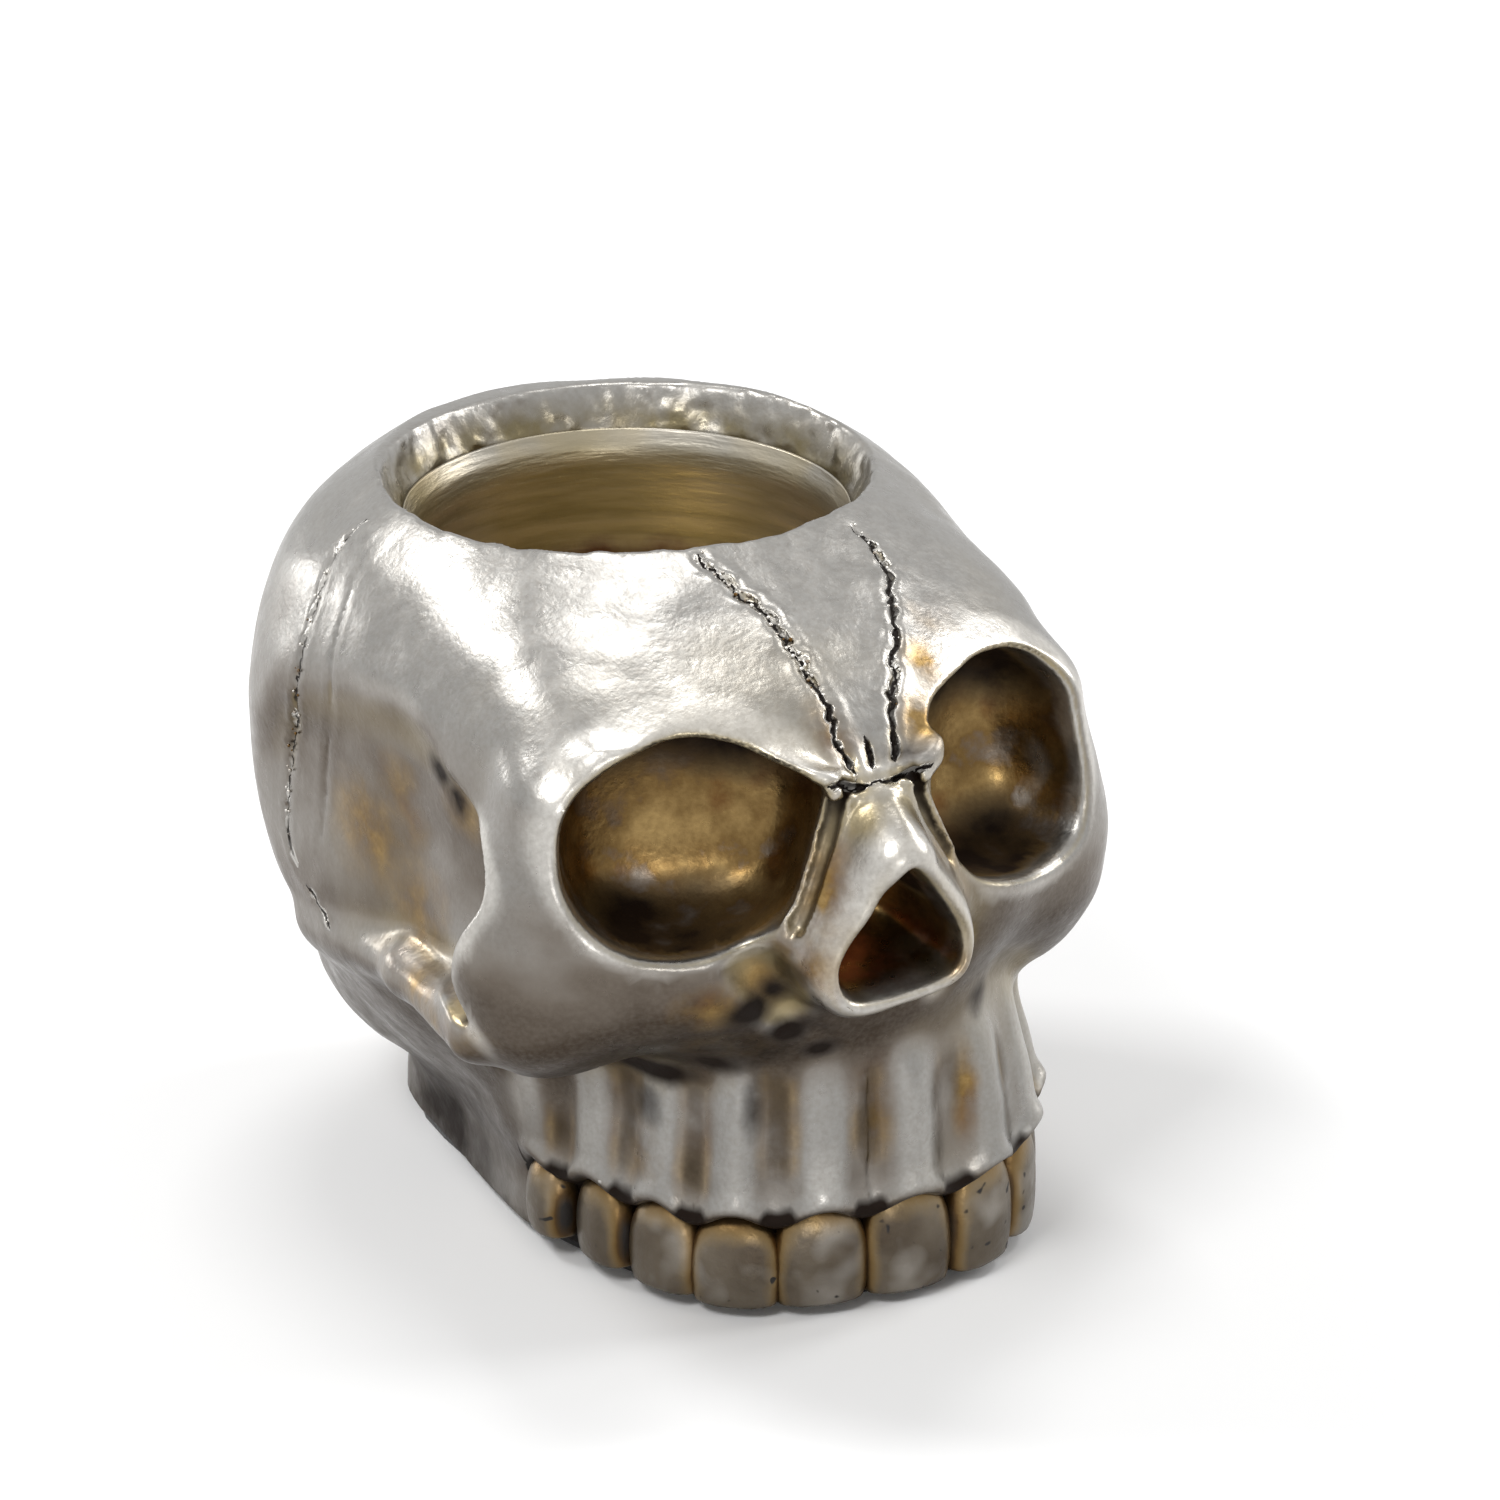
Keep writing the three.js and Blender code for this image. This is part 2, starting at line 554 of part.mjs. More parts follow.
function skullGeometry() {
  let skull = solid(moulded(head, outermost, HEAD_HEART, HEAD_SEGMENTS));
  skull = skull.add(solid(moulded(nose, outermost, NOSE_HEART, NOSE_SEGMENTS)));
  for (const tooth of toothSolids()) skull = skull.add(tooth);
  const trim = new THREE.BoxGeometry(2 * FARTHEST, 2 * FARTHEST, RIM_HEIGHT - CAST_FOOT)
    .translate(0, 0, (RIM_HEIGHT + CAST_FOOT) / 2);
  skull = skull.intersect(solid(trim));
  for (const hand of [-1, 1]) skull = skull.subtract(socketSolid(hand));
  const rebate = slab(footprint(CAST_FOOT, PLATE_INSET - CLEARANCE), BELOW_FOOT, PLATE_TOP - BELOW_FOOT);
  return geometryOf(skull
    .subtract(solid(moulded(nostril, innermost, NOSTRIL_HEART, NOSTRIL_SEGMENTS)))
    .subtract(bowlSolid())
    .subtract(solid(moulded(hollow, innermost, HOLLOW_HEART, HOLLOW_SEGMENTS)))
    .subtract(solid(rebate)));
}

function cupGeometry() {
  return turned([
    [0, POCKET_FLOOR],
    [CUP_RADIUS, POCKET_FLOOR],
    [CUP_RADIUS, CUP_TOP],
    [CUP_INNER_RADIUS, CUP_TOP],
    [CUP_INNER_RADIUS, CUP_FLOOR + CUP_FLOOR_FILLET],
    [CUP_INNER_RADIUS - CUP_FLOOR_FILLET, CUP_FLOOR],
    [0, CUP_FLOOR],
  ]);
}

function piece(name, geometry, colour, roughness, metalness) {
  const material = new THREE.MeshStandardMaterial({ color: colour, roughness, metalness });
  const mesh = new THREE.Mesh(geometry, material);
  mesh.name = name;
  return mesh;
}

const plate = slab(footprint(CAST_FOOT, PLATE_INSET), CAST_FOOT, PLATE_THICKNESS);
const pad = slab(footprint(CAST_FOOT, PAD_INSET), 0, PAD_THICKNESS);
const holder = new THREE.Group();
holder.add(
  piece("skull_casting", skullGeometry(), "#a8a59c", 0.36, 0.9),
  piece("candle_cup", cupGeometry(), "#a38d62", 0.42, 0.85),
  piece("base_plate", plate, "#4a4640", 0.8, 0),
  piece("base_pad", pad, "#1d1c1b", 0.95, 0),
);

export default holder;
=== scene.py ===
import math

import bpy
import numpy as np
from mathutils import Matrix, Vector


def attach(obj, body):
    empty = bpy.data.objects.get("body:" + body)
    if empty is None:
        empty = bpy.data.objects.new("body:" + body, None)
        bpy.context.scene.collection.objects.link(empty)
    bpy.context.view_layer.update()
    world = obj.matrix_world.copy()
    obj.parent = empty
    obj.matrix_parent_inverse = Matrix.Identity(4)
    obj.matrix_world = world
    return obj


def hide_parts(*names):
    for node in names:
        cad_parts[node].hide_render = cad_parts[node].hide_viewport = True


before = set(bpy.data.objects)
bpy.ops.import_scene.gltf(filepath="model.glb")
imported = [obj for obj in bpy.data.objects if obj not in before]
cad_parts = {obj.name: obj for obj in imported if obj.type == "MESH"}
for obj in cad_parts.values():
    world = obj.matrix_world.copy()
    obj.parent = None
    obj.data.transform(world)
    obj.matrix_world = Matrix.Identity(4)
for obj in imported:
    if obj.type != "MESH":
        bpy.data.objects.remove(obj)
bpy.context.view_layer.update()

bl_info = {
    "name": "Skull candle holder",
    "version": (1, 0, 0),
    "blender": (4, 5, 0),
    "location": "View3D > Sidebar > Skull",
    "description": "A cast skull with a bowl for a tealight, in silver paint with a bronze wash",
    "category": "Object",
}

# Lengths below are in millimetres: x to the picture's right, ahead towards the face, z up
MM = 0.001
CAST_FOOT = 1.2
PLATE_TOP = 3.2
REBATE_INSET = 2.1
RIM_HEIGHT = 74.5
RIM_RADIUS = 25
RIM_TILT = 0.036
RIM_ROUNDING = 0.6
CHAMFER_HEIGHT = 5
POCKET_RADIUS = 22.6
POCKET_FLOOR = 53.7
BOWL_BACKSET = 0.3

# The chamfer's hammering: streaks down it, so many to a radian and drawn out by a share, and dents
STREAKS_TO_RADIAN = 12
STREAK_SHARE = 0.35
STREAK_DEPTH = 0.24
DENT_DEPTH = 0.12
DENT_SPACING = 1.1
HAMMER_START = 0.6

# Marks of the hand all over the skull: depth and spacing of the broad and of the small ones
BROAD_MARKS = (0.3, 9)
SMALL_MARKS = (0.12, 3.6)
MARK_SHIFT = 50

# The casting's wall, and how its crown falls off round the rim
WALL = 4.6
HOLLOW_CEILING = 49.1
CROWN_FALL = math.radians(27)
CROWN_RADIUS = 27
MIDLINE_SOFTNESS = 0.55

# Masses of the head: centre, reach each way (a pair is backwards or down, then forwards or up)
# and power, where more than 2 squares the shoulders
BRAINCASE = ((0, -5, 48), (37.2, (34.6, 46), (46, 36.5)), 2)
FOREHEAD = ((0, 16, 51), (32.5, 34, 24.5), 2.9)
MASTOID = ((21, -12, 20), (6.4, 9, 7.5), 2)
NECK = ((0, -2, 6), (19.6, (23.2, 24), 26), 3.2)
MIDFACE = ((0, 24, 43), (31.5, 24.5, 16), 2.7)
CHEEKBONE = ((26.2, 32.5, 40), (10.2, 10, 13.2), 2.1)
JAW = ((0, 0, 6), (23, (26, 26.8), (34, 62)), 2.6)

# Rods of bone: start, end and the radius at each
EYE_PILLAR = ((27.5, 36.5, 57), (27.5, 37, 50), 3.6, 3.6)
BROW = (
    ((24.5, 40.6, 63.4), (16.5, 46.2, 65.2), 2.4, 2.9),
    ((16.5, 46.2, 65.2), (9.5, 49.4, 63.6), 2.9, 2.8),
    ((9.5, 49.4, 63.6), (5.4, 51.2, 60.6), 2.6, 1.9),
)
CHEEK_ARCH = (
    ((31.5, -8, 27.6), (31.9, 14, 31.2), 2, 2.2),
    ((31.9, 14, 31.2), (33.2, 31, 31.8), 2.2, 2.8),
)
NOSE_BRIDGE = ((0, 47, 57), (0, 55.2, 52.4), 2.2, 2.4)

# Outlines of the hollows, each a smooth closed curve through a few points
TEMPLE_OUTLINE = [
    (-9, 41), (-5, 50), (4, 55), (13, 56.6), (22.5, 56.8), (28.5, 54.6), (33, 51.4), (35.2, 48),
    (33.6, 43.6), (31.4, 38.6), (33.4, 33.6), (26, 34), (12, 33.4), (-3, 31.4),
]
RIGHT_SOCKET_OUTLINE = [
    (12.2, -0.5), (12, 3.3), (10.3, 6.2), (6, 9), (0, 10.4), (-4.3, 10), (-8, 8.6), (-12, 6.7),
    (-13.4, 5.4), (-12.3, 1.5), (-10.4, -4.4), (-7.9, -7.3), (-4.5, -8.9), (0, -9.8), (4.5, -9.7),
    (8.3, -7.9), (11.1, -4.3),
]
LEFT_SOCKET_OUTLINE = [
    (-6.9, 10.3), (-0.4, 11.2), (6, 10.2), (9.8, 8), (12.2, 4.4), (12.7, -1.6), (12.8, -7.2),
    (11, -10.6), (5.4, -11.5), (-3.6, -8.9), (-7.9, -5.6), (-10.6, -0.1), (-11.1, 4.2), (-10, 8.2),
]
NOSE_OUTLINE = [
    (-0.3, 53), (-3.5, 48.2), (-5.7, 44.8), (-6.7, 42.4), (-6.2, 40.1), (-4.1, 38.9),
    (1, 39), (5.2, 39.7), (6.6, 41.2), (6.5, 43.6), (4.6, 47.2), (2.3, 50.4),
]

# How softly the masses run into one another
BROAD_BLEND = 6
BLEND = 5
CLOSE_BLEND = 3.5
SOCKET_BLEND = 1.4
SOCKET_FLOOR_BLEND = 3
NOSTRIL_BLEND = 1.2
NOSE_BLEND = 3
NOSE_TIP_BLEND = 2.5
NOSE_BONE_BLEND = 2
ARCH_BLEND = 3
TEMPLE_FLOOR_BLEND = 3
CUT_BLEND = 0.25

# Eye sockets
SOCKET_SIDE = 18
SOCKET_AHEAD = 46
SOCKET_LEVEL = 53
SOCKET_YAW = math.radians(24)
SOCKET_BOWL = ((-0.4, 2.5, 0), (15.5, 15, 13.8), 2.6)

# The nose
NOSE_TIP = 56.8
NOSE_LIP = 1.7
NOSE_FLOOR = 43
NOSE_WIDEN = (0.06, 0.26)
NOSE_WIDEN_LEVELS = (37, 47)
NOSE_SLANT = math.atan2(6.8, 14.5)
NOSE_PEAK = 53.8
NOSE_TOP = 59.5
NOSE_MIDDLE = 0.4
NOSE_RIDGE = 1.2
NOSE_BONE = 1.5
NOSE_BONE_FOOT = 45.5
NOSE_ROOT = 40
NOSE_NARROWING = 0.12

# The temple's hollow: its floor runs inwards from the back to the front and bends over its middle
TEMPLE_BACK = (-8, 37)
TEMPLE_FRONT = (30, 28.6)
TEMPLE_MIDDLE = 45
TEMPLE_BEND = 42

# Its rim is soft at the back and sharpens towards the front
TEMPLE_BLEND = 7
TEMPLE_SHARPENING = 6.2
TEMPLE_SHARP_AHEAD = (14, 27)

# The face's left side was sculpted a little higher and narrower, and the jaw turned and shifted
FACE_LIFT = 1.3
FACE_TUCK = 0.9
FACE_SIDE = (4, 26)
FACE_AHEAD = (12, 30)
FACE_LEVELS = (20, 34)
JAW_PIVOT = 20
JAW_TURN = math.radians(8.5)
JAW_SHIFT = 6
JAW_TURN_LEVELS = (24, 44)
JAW_TAPER = 0.17
JAW_TAPER_LEVELS = (10, 40)
JAW_FLARE = 0.06
JAW_FLARE_SIDE = (4, 16)
JAW_SPLAY = 0.2
JAW_SPLAY_SIDE = (4, 12)
JAW_SPLAY_REACH = (18, -2)
JAW_SPLAY_LEVELS = (16, 36)

# Teeth from the middle outwards on each side: width, height, how far the foot hangs clear
RIGHT_TEETH = ((9.4, 9.6, 0), (8.8, 8.6, 0), (8.2, 8.8, 0.3), (7.6, 8.6, 0.7), (6.8, 8.2, 1.2))
LEFT_TEETH = ((9.4, 10.4, 0), (8.8, 11.2, 0.2), (8.2, 11.2, 0.5), (7.4, 10.6, 0.8), (6.4, 9.6, 1.6))
TOOTH_INSET = 1.9

# The gum line above them and the jaw's heel behind the last tooth
GUM_LINE = 9.6
GUM_RISE = (-0.25, 0.6)
GUM_SCALLOP = 1.6
GUM_DEPTH = 2.1
GUM_EDGE = 0.9
GUM_LIP = 0.7
GUM_LIP_WIDTH = 1.3
LAST_TOOTH = (4.2, 5)
HEEL_DEPTH = 1.2
HEEL_LEVELS = (6, 14)

# The roots above the gum: the levels between which they rise and die out, and how proud each stands
ROOT_HEIGHT = 1.3
ROOT_VALLEY = 0.4
ROOT_LEVELS = (9, 15, 22, 31)
RIGHT_ROOTS = (0.8, 1.35, 0.7, 1.15, 0.8)
LEFT_ROOTS = (1.5, 1.2, 0.9, 1.1, 0.8)

# A crown is an egg cut flat below its middle, at this share of its half height. The two powers say how
# late its dark border sets in, towards its sides and its top
CROWN_FOOT = 0.5
CROWN_SIDE_EDGE = 5.0
CROWN_UPPER_EDGE = 3.0
CROWN_SINK = 1
CROWN_OVERLAP = 0.3

# Chips: how deep noise dents a lump of radius 1, and how far it may turn, in radians
CHIP_DENT = 1.1
CHIP_TURN = 6.28

# How far on along a line its heading is read
HEADING_STEP = 0.3
ARCH_STEP = 0.4

# Fineness of the sculpted surface
CELL = 0.36
BLOCK = 5
BATCH = 400000
CASTING_FACES = 190000
SCULPT_LOW = np.array((-39.0, -60.0, 0.4))
SCULPT_HIGH = np.array((39.0, 42.0, 77.0))


def ramp(value, start, end):
    """0 before the start, 1 past the end and a smooth rise between them."""
    share = np.clip((value - start) / (end - start), 0, 1)
    return share * share * (3 - 2 * share)


def joined(first, second, blend):
    """Two bodies as one, with a fillet about a blend wide between them."""
    share = np.clip(0.5 + 0.5 * (second - first) / blend, 0, 1)
    return second + (first - second) * share - blend * share * (1 - share)


def common(first, second, blend):
    """What two bodies share, with a rounded edge between them."""
    return -joined(-first, -second, blend)


def carved(body, tool, blend):
    """A body with a tool's shape cut out of it."""
    return common(body, -tool, blend)


def soften(value):
    """A distance from the middle plane, rounded there, so that no mirrored shape has a ridge."""
    return np.sqrt(value * value + MIDLINE_SOFTNESS ** 2)


def lump(place, shape):
    """Distance to a rounded block."""
    centre, reach, power = shape
    size = 0
    slope = 0
    for value, middle, length in zip(place, centre, reach):
        offset = value - middle
        if isinstance(length, tuple):
            length = np.where(offset < 0, length[0], length[1])
        share = np.abs(offset) / length
        size = size + share ** power
        slope = slope + (share ** (power - 1) / length) ** 2
    size = np.maximum(size, 1e-9) ** (1 / power)
    return (size - 1) / np.maximum(np.sqrt(slope) * size ** (1 - power), 1e-3)


def rod(place, shape):
    """Distance to a rod whose radius runs from its start to its end."""
    start, end, first, last = shape
    along = np.array(end, float) - start
    offset = [value - begin for value, begin in zip(place, start)]
    share = sum(part * step for part, step in zip(offset, along)) / (along @ along)
    share = np.clip(share, 0, 1)
    gap = np.sqrt(sum((part - step * share) ** 2 for part, step in zip(offset, along)))
    return gap - (first + (last - first) * share)


def between(a, b, c, d, t):
    """A smooth curve's point at a share t of the way from b to c, with a before and d behind them."""
    square = (2 * a - 5 * b + 4 * c - d) * t * t
    cube = (3 * b - a - 3 * c + d) * t ** 3
    return 0.5 * (2 * b + (c - a) * t + square + cube)


def smooth_loop(points, count=160):
    """A closed curve through the points."""
    points = np.array(points, float)
    number = len(points)
    at = np.arange(count) / count * number
    index = at.astype(int)
    t = (at - index)[:, None]
    a, b, c, d = (points[(index + k) % number] for k in (-1, 0, 1, 2))
    return between(a, b, c, d, t)


class Outline:
    """Signed distance inside a plane to a smooth closed outline, kept on a fine grid."""

    def __init__(self, points, margin=14, step=0.25, smoothings=6):
        loop = smooth_loop(points)
        self.low = loop.min(0) - margin
        self.step = step
        counts = np.ceil((loop.max(0) + margin - self.low) / step).astype(int) + 1
        axes = [self.low[k] + np.arange(counts[k]) * step for k in (0, 1)]
        u, v = np.meshgrid(*axes, indexing="ij")
        gap = np.full(u.shape, np.inf)
        inside = np.zeros(u.shape, bool)
        for (u0, v0), (u1, v1) in zip(loop, np.roll(loop, -1, 0)):
            du, dv = u1 - u0, v1 - v0
            share = np.clip(((u - u0) * du + (v - v0) * dv) / (du * du + dv * dv), 0, 1)
            gap = np.minimum(gap, (u - u0 - du * share) ** 2 + (v - v0 - dv * share) ** 2)
            if v0 != v1:
                inside ^= ((v0 > v) != (v1 > v)) & (u < u0 + (v - v0) / dv * du)
        table = np.where(inside, -1, 1) * np.sqrt(gap)
        for _ in range(smoothings):
            around = table[:-2, 1:-1] + table[2:, 1:-1] + table[1:-1, :-2] + table[1:-1, 2:]
            table[1:-1, 1:-1] = (table[1:-1, 1:-1] + around / 4) / 2
        self.table = table

    def __call__(self, u, v):
        a = np.clip((u - self.low[0]) / self.step, 0, self.table.shape[0] - 1.001)
        b = np.clip((v - self.low[1]) / self.step, 0, self.table.shape[1] - 1.001)
        i, j = a.astype(int), b.astype(int)
        s, t = a - i, b - j
        table = self.table
        low = table[i, j] * (1 - s) + table[i + 1, j] * s
        high = table[i, j + 1] * (1 - s) + table[i + 1, j + 1] * s
        return low * (1 - t) + high * t


TEMPLE = Outline(TEMPLE_OUTLINE)
RIGHT_SOCKET = Outline(RIGHT_SOCKET_OUTLINE)
LEFT_SOCKET = Outline(LEFT_SOCKET_OUTLINE)
NOSE_OPENING = Outline(NOSE_OUTLINE)


class Grain:
    """Smooth noise from -1 to 1 on a repeating lattice, the same each run."""

    SIZE = 32

    def __init__(self, seed):
        self.table = np.random.default_rng(seed).uniform(-1, 1, (self.SIZE,) * 3)

    def __call__(self, x, y, z, spacing):
        cells, shares = [], []
        for value in (x, y, z):
            value = value / spacing
            cell = np.floor(value)
            share = value - cell
            cells.append(cell.astype(int) % self.SIZE)
            shares.append(share * share * (3 - 2 * share))
        total = 0
        for corner in range(8):
            weight = 1
            index = []
            for axis in range(3):
                step = corner >> axis & 1
                index.append((cells[axis] + step) % self.SIZE)
                weight = weight * (shares[axis] if step else 1 - shares[axis])
            total = total + self.table[tuple(index)] * weight
        return total


HAND_MARKS = Grain(3)
FINE_MARKS = Grain(8)


def face_place(x, y, z):
    """Where a point lies in the even, untucked face."""
    ahead = -y
    share = ramp(x, *FACE_SIDE) * ramp(ahead, *FACE_AHEAD)
    return soften(x) + FACE_TUCK * share, ahead, z - FACE_LIFT * share * ramp(z, *FACE_LEVELS)


def jaw_place(x, ahead, z):
    """Where a point lies in the turned frame of the jaw: across, forward."""
    share = 1 - ramp(z, *JAW_TURN_LEVELS)
    turn = JAW_TURN * share
    across = x - JAW_SHIFT * share
    forward = ahead - JAW_PIVOT
    return (across * np.cos(turn) + forward * np.sin(turn), forward * np.cos(turn) - across * np.sin(turn))


def jaw_arch(count=200):
    """The jaw's outline from the middle to the end of one side, and the way along it."""
    _, reach, power = JAW
    angle = np.linspace(0, math.pi / 2, count)
    across = reach[0] * np.sin(angle) ** (2 / power)
    forward = reach[1][1] * np.cos(angle) ** (2 / power)
    way = np.concatenate(([0], np.cumsum(np.hypot(np.diff(across), np.diff(forward)))))
    return across, forward, way


def tooth_middles():
    """The way along the arch to the middle of each tooth, and each tooth's width."""
    widths = np.array([tooth[0] for tooth in RIGHT_TEETH])
    return np.cumsum(widths) - widths / 2, widths


ARCH_ACROSS, ARCH_FORWARD, ARCH_WAY = jaw_arch()
TOOTH_WAY, TOOTH_WIDTH = tooth_middles()


def tooth_swell(across, forward):
    """1 over the middle of each tooth and 0 between two, and how many teeth back along the arch."""
    bearing = np.arctan2(np.abs(across), np.maximum(forward, 0.1))
    way = np.interp(bearing, np.arctan2(ARCH_ACROSS, ARCH_FORWARD), ARCH_WAY)
    ends = np.concatenate(([0], np.cumsum(TOOTH_WIDTH)))
    number = np.interp(way, ends, np.arange(len(ends)))
    swell = np.sin(math.pi * (number % 1)) ** 2
    return np.where(number >= len(TOOTH_WIDTH) - 0.01, 0, swell), number


def splay(across, forward):
    """How much narrower an even arch is than the one that was sculpted."""
    right = JAW_SPLAY * ramp(forward, *JAW_SPLAY_REACH) * ramp(-across, *JAW_SPLAY_SIDE)
    return 1 - right - JAW_FLARE * ramp(across, *JAW_FLARE_SIDE)


def gum_line(across, swell, number):
    """The height at which the teeth end, which rises backwards on the one side and sinks on the other."""
    rise = np.where(across < 0, *GUM_RISE)
    return GUM_LINE + rise * number + GUM_SCALLOP * swell


def root_rise(z):
    """How far a level lies within the height of the roots: 0 below and above it, 1 inside."""
    return ramp(z, *ROOT_LEVELS[:2]) * (1 - ramp(z, *ROOT_LEVELS[2:]))


def jaw(x, ahead, z):
    """The jaw with its gum line and the roots of its teeth."""
    across, forward = jaw_place(x, ahead, z)
    low = 1 - ramp(z, *JAW_SPLAY_LEVELS)
    even = across * (1 - (1 - splay(across, forward)) * low)
    swell, number = tooth_swell(even, forward)
    back = 1 - ramp(number, *LAST_TOOTH)
    line = gum_line(across, swell, number)
    gum = GUM_DEPTH * (1 - ramp(z, line - GUM_EDGE, line + GUM_EDGE)) * back
    heel = HEEL_DEPTH * (1 - ramp(z, *HEEL_LEVELS)) * (1 - back)
    which = np.arange(len(RIGHT_ROOTS)) + 0.5
    proud = np.where(across < 0, *(np.interp(number, which, sizes) for sizes in (RIGHT_ROOTS, LEFT_ROOTS)))
    roots = ROOT_HEIGHT * proud * (swell - ROOT_VALLEY) * root_rise(z) * back
    lip = GUM_LIP * np.exp(-((z - line - GUM_LIP_WIDTH) / GUM_LIP_WIDTH) ** 2) * back
    lip = lip * (0.35 + 0.65 * ramp(swell, 0, 0.5))
    taper = 1 + JAW_TAPER * ramp(z, *JAW_TAPER_LEVELS)
    return lump((soften(even) * taper, forward, z), JAW) + (gum + heel) - roots - lip


def nose(x, side, ahead, z):
    """The lip round the nose opening and the bones above it."""
    widen = (NOSE_WIDEN[0] + NOSE_WIDEN[1] * ramp(z, *NOSE_WIDEN_LEVELS)) * (NOSE_TIP - ahead)
    hood = common(NOSE_OPENING(x, z) - NOSE_LIP - widen, ahead - NOSE_TIP, NOSE_TIP_BLEND)
    flank = np.hypot(x - NOSE_MIDDLE, NOSE_RIDGE) * math.cos(NOSE_SLANT)
    flank = flank + (z - NOSE_PEAK) * math.sin(NOSE_SLANT)
    bone = common(flank - NOSE_BONE - widen, ahead - NOSE_TIP, NOSE_BONE_BLEND)
    bone = common(common(bone, z - NOSE_TOP, NOSE_BLEND), NOSE_BONE_FOOT - z, NOSE_BLEND)
    shaft = common(joined(hood, bone, NOSE_BONE_BLEND), NOSE_ROOT - ahead, NOSE_BLEND)
    return joined(shaft, rod((side, ahead, z), NOSE_BRIDGE), NOSE_TIP_BLEND)


def head(x, y, z):
    """The head without its eye sockets, nose opening, cracks and bowl."""
    side, ahead, level = face_place(x, y, z)
    place = (side, ahead, level)
    even = (soften(x), -y, z)
    d = lump(even, BRAINCASE)
    d = joined(d, lump(place, FOREHEAD), BROAD_BLEND)
    for shape in (MASTOID, NECK):
        d = joined(d, lump(even, shape), BLEND)
    for shape in (MIDFACE, CHEEKBONE):
        d = joined(d, lump(place, shape), BLEND)
    d = joined(d, rod(place, EYE_PILLAR), BLEND)
    for shape in BROW:
        d = joined(d, rod(place, shape), CLOSE_BLEND)
    d = joined(d, jaw(x, ahead, z), BLEND)
    d = joined(d, nose(x, side, ahead, level), NOSE_BLEND)
    beyond = np.sqrt(x * x + y * y) - CROWN_RADIUS
    d = common(d, (z - RIM_HEIGHT) * math.cos(CROWN_FALL) + beyond * math.sin(CROWN_FALL), BLEND)
    share = (ahead - TEMPLE_BACK[0]) / (TEMPLE_FRONT[0] - TEMPLE_BACK[0])
    floor = TEMPLE_BACK[1] + (TEMPLE_FRONT[1] - TEMPLE_BACK[1]) * share
    floor = floor + (level - TEMPLE_MIDDLE) ** 2 / (2 * TEMPLE_BEND)
    hollow = common(TEMPLE(ahead, level), floor - side, TEMPLE_FLOOR_BLEND)
    d = common(d, -hollow, TEMPLE_BLEND - TEMPLE_SHARPENING * ramp(ahead, *TEMPLE_SHARP_AHEAD))
    for shape in CHEEK_ARCH:
        d = joined(d, rod(place, shape), ARCH_BLEND)
    return d


def socket(x, y, z):
    """The eye sockets."""
    side, ahead, level = face_place(x, y, z)
    across = side - SOCKET_SIDE
    deep = ahead - SOCKET_AHEAD
    u = across * math.cos(SOCKET_YAW) - deep * math.sin(SOCKET_YAW)
    w = across * math.sin(SOCKET_YAW) + deep * math.cos(SOCKET_YAW)
    v = level - SOCKET_LEVEL
    plane = np.where(x < 0, RIGHT_SOCKET(u, v), LEFT_SOCKET(u, v))
    return common(plane, lump((u, w, v), SOCKET_BOWL), SOCKET_FLOOR_BLEND)


def nostril(x, y, z):
    """The nose opening, which narrows inwards."""
    _, ahead, level = face_place(x, y, z)
    narrow = NOSE_NARROWING * np.maximum(NOSE_TIP - ahead, 0)
    return common(NOSE_OPENING(x, level) + narrow, NOSE_FLOOR - ahead, BLEND)


# Routes of the cracks and seams: x, ahead and height of points near the surface
RIGHT_CRACK = [(-5.6, 25.5, 75), (-4.6, 29, 72.6), (-2.6, 34, 69.2), (-2.3, 38, 66.8), (-1.8, 43, 65),
               (-2.6, 47.5, 64), (-1.8, 50.6, 61.6), (-1.6, 51.6, 60.2)]
LEFT_CRACK = [(12.3, 25, 75.5), (13, 29, 73.1), (11.2, 34, 70.5), (8.2, 40, 68.1), (4.6, 46, 64.8),
              (2.4, 50, 61.6), (1.9, 51.4, 60.2)]
NASAL_CREASE = [(-6.4, 51.4, 59.7), (-2, 51.9, 60.2), (2.5, 51.9, 60.1), (6, 51.6, 60)]
SHORT_CRACK = [(0.4, 48.4, 63.6), (0.1, 50.2, 62), (-0.3, 51.3, 60.6)]
RIGHT_NASAL_GROOVE = [(-3.4, 51.2, 59.4), (-5.2, 51.4, 56.4), (-6.6, 51.6, 53), (-7.9, 51.4, 49),
                      (-8.6, 50.6, 45)]
LEFT_NASAL_GROOVE = [(3.2, 51.4, 59.6), (5, 51.2, 56.4), (6.6, 51, 53), (8, 50.8, 49)]
SIDE_SEAM = [(26.6, -3.3, 72.5), (29.4, -4.5, 70), (32.6, -3.6, 65.6), (34.7, -3, 60.9), (35.7, -3.5, 54.4),
             (35.2, -6.5, 46.6), (34.8, -7.7, 39.5), (34.9, -5.5, 34.8), (34.4, 0.4, 30.4)]
MOULD_LINE = [(27, 0.5, 72), (29.7, 0.9, 69.8), (32.6, 2.2, 64.5), (34.8, 2.8, 56.6), (34.2, -0.2, 46.7),
              (34.5, -1.3, 37.5)]
CRACK_DEPTH = 0.42
CREASE_DEPTH = 0.45
NASAL_GROOVE_DEPTH = 0.8
SEAM_DEPTH = 0.22
MOULD_LINE_DEPTH = 0.14

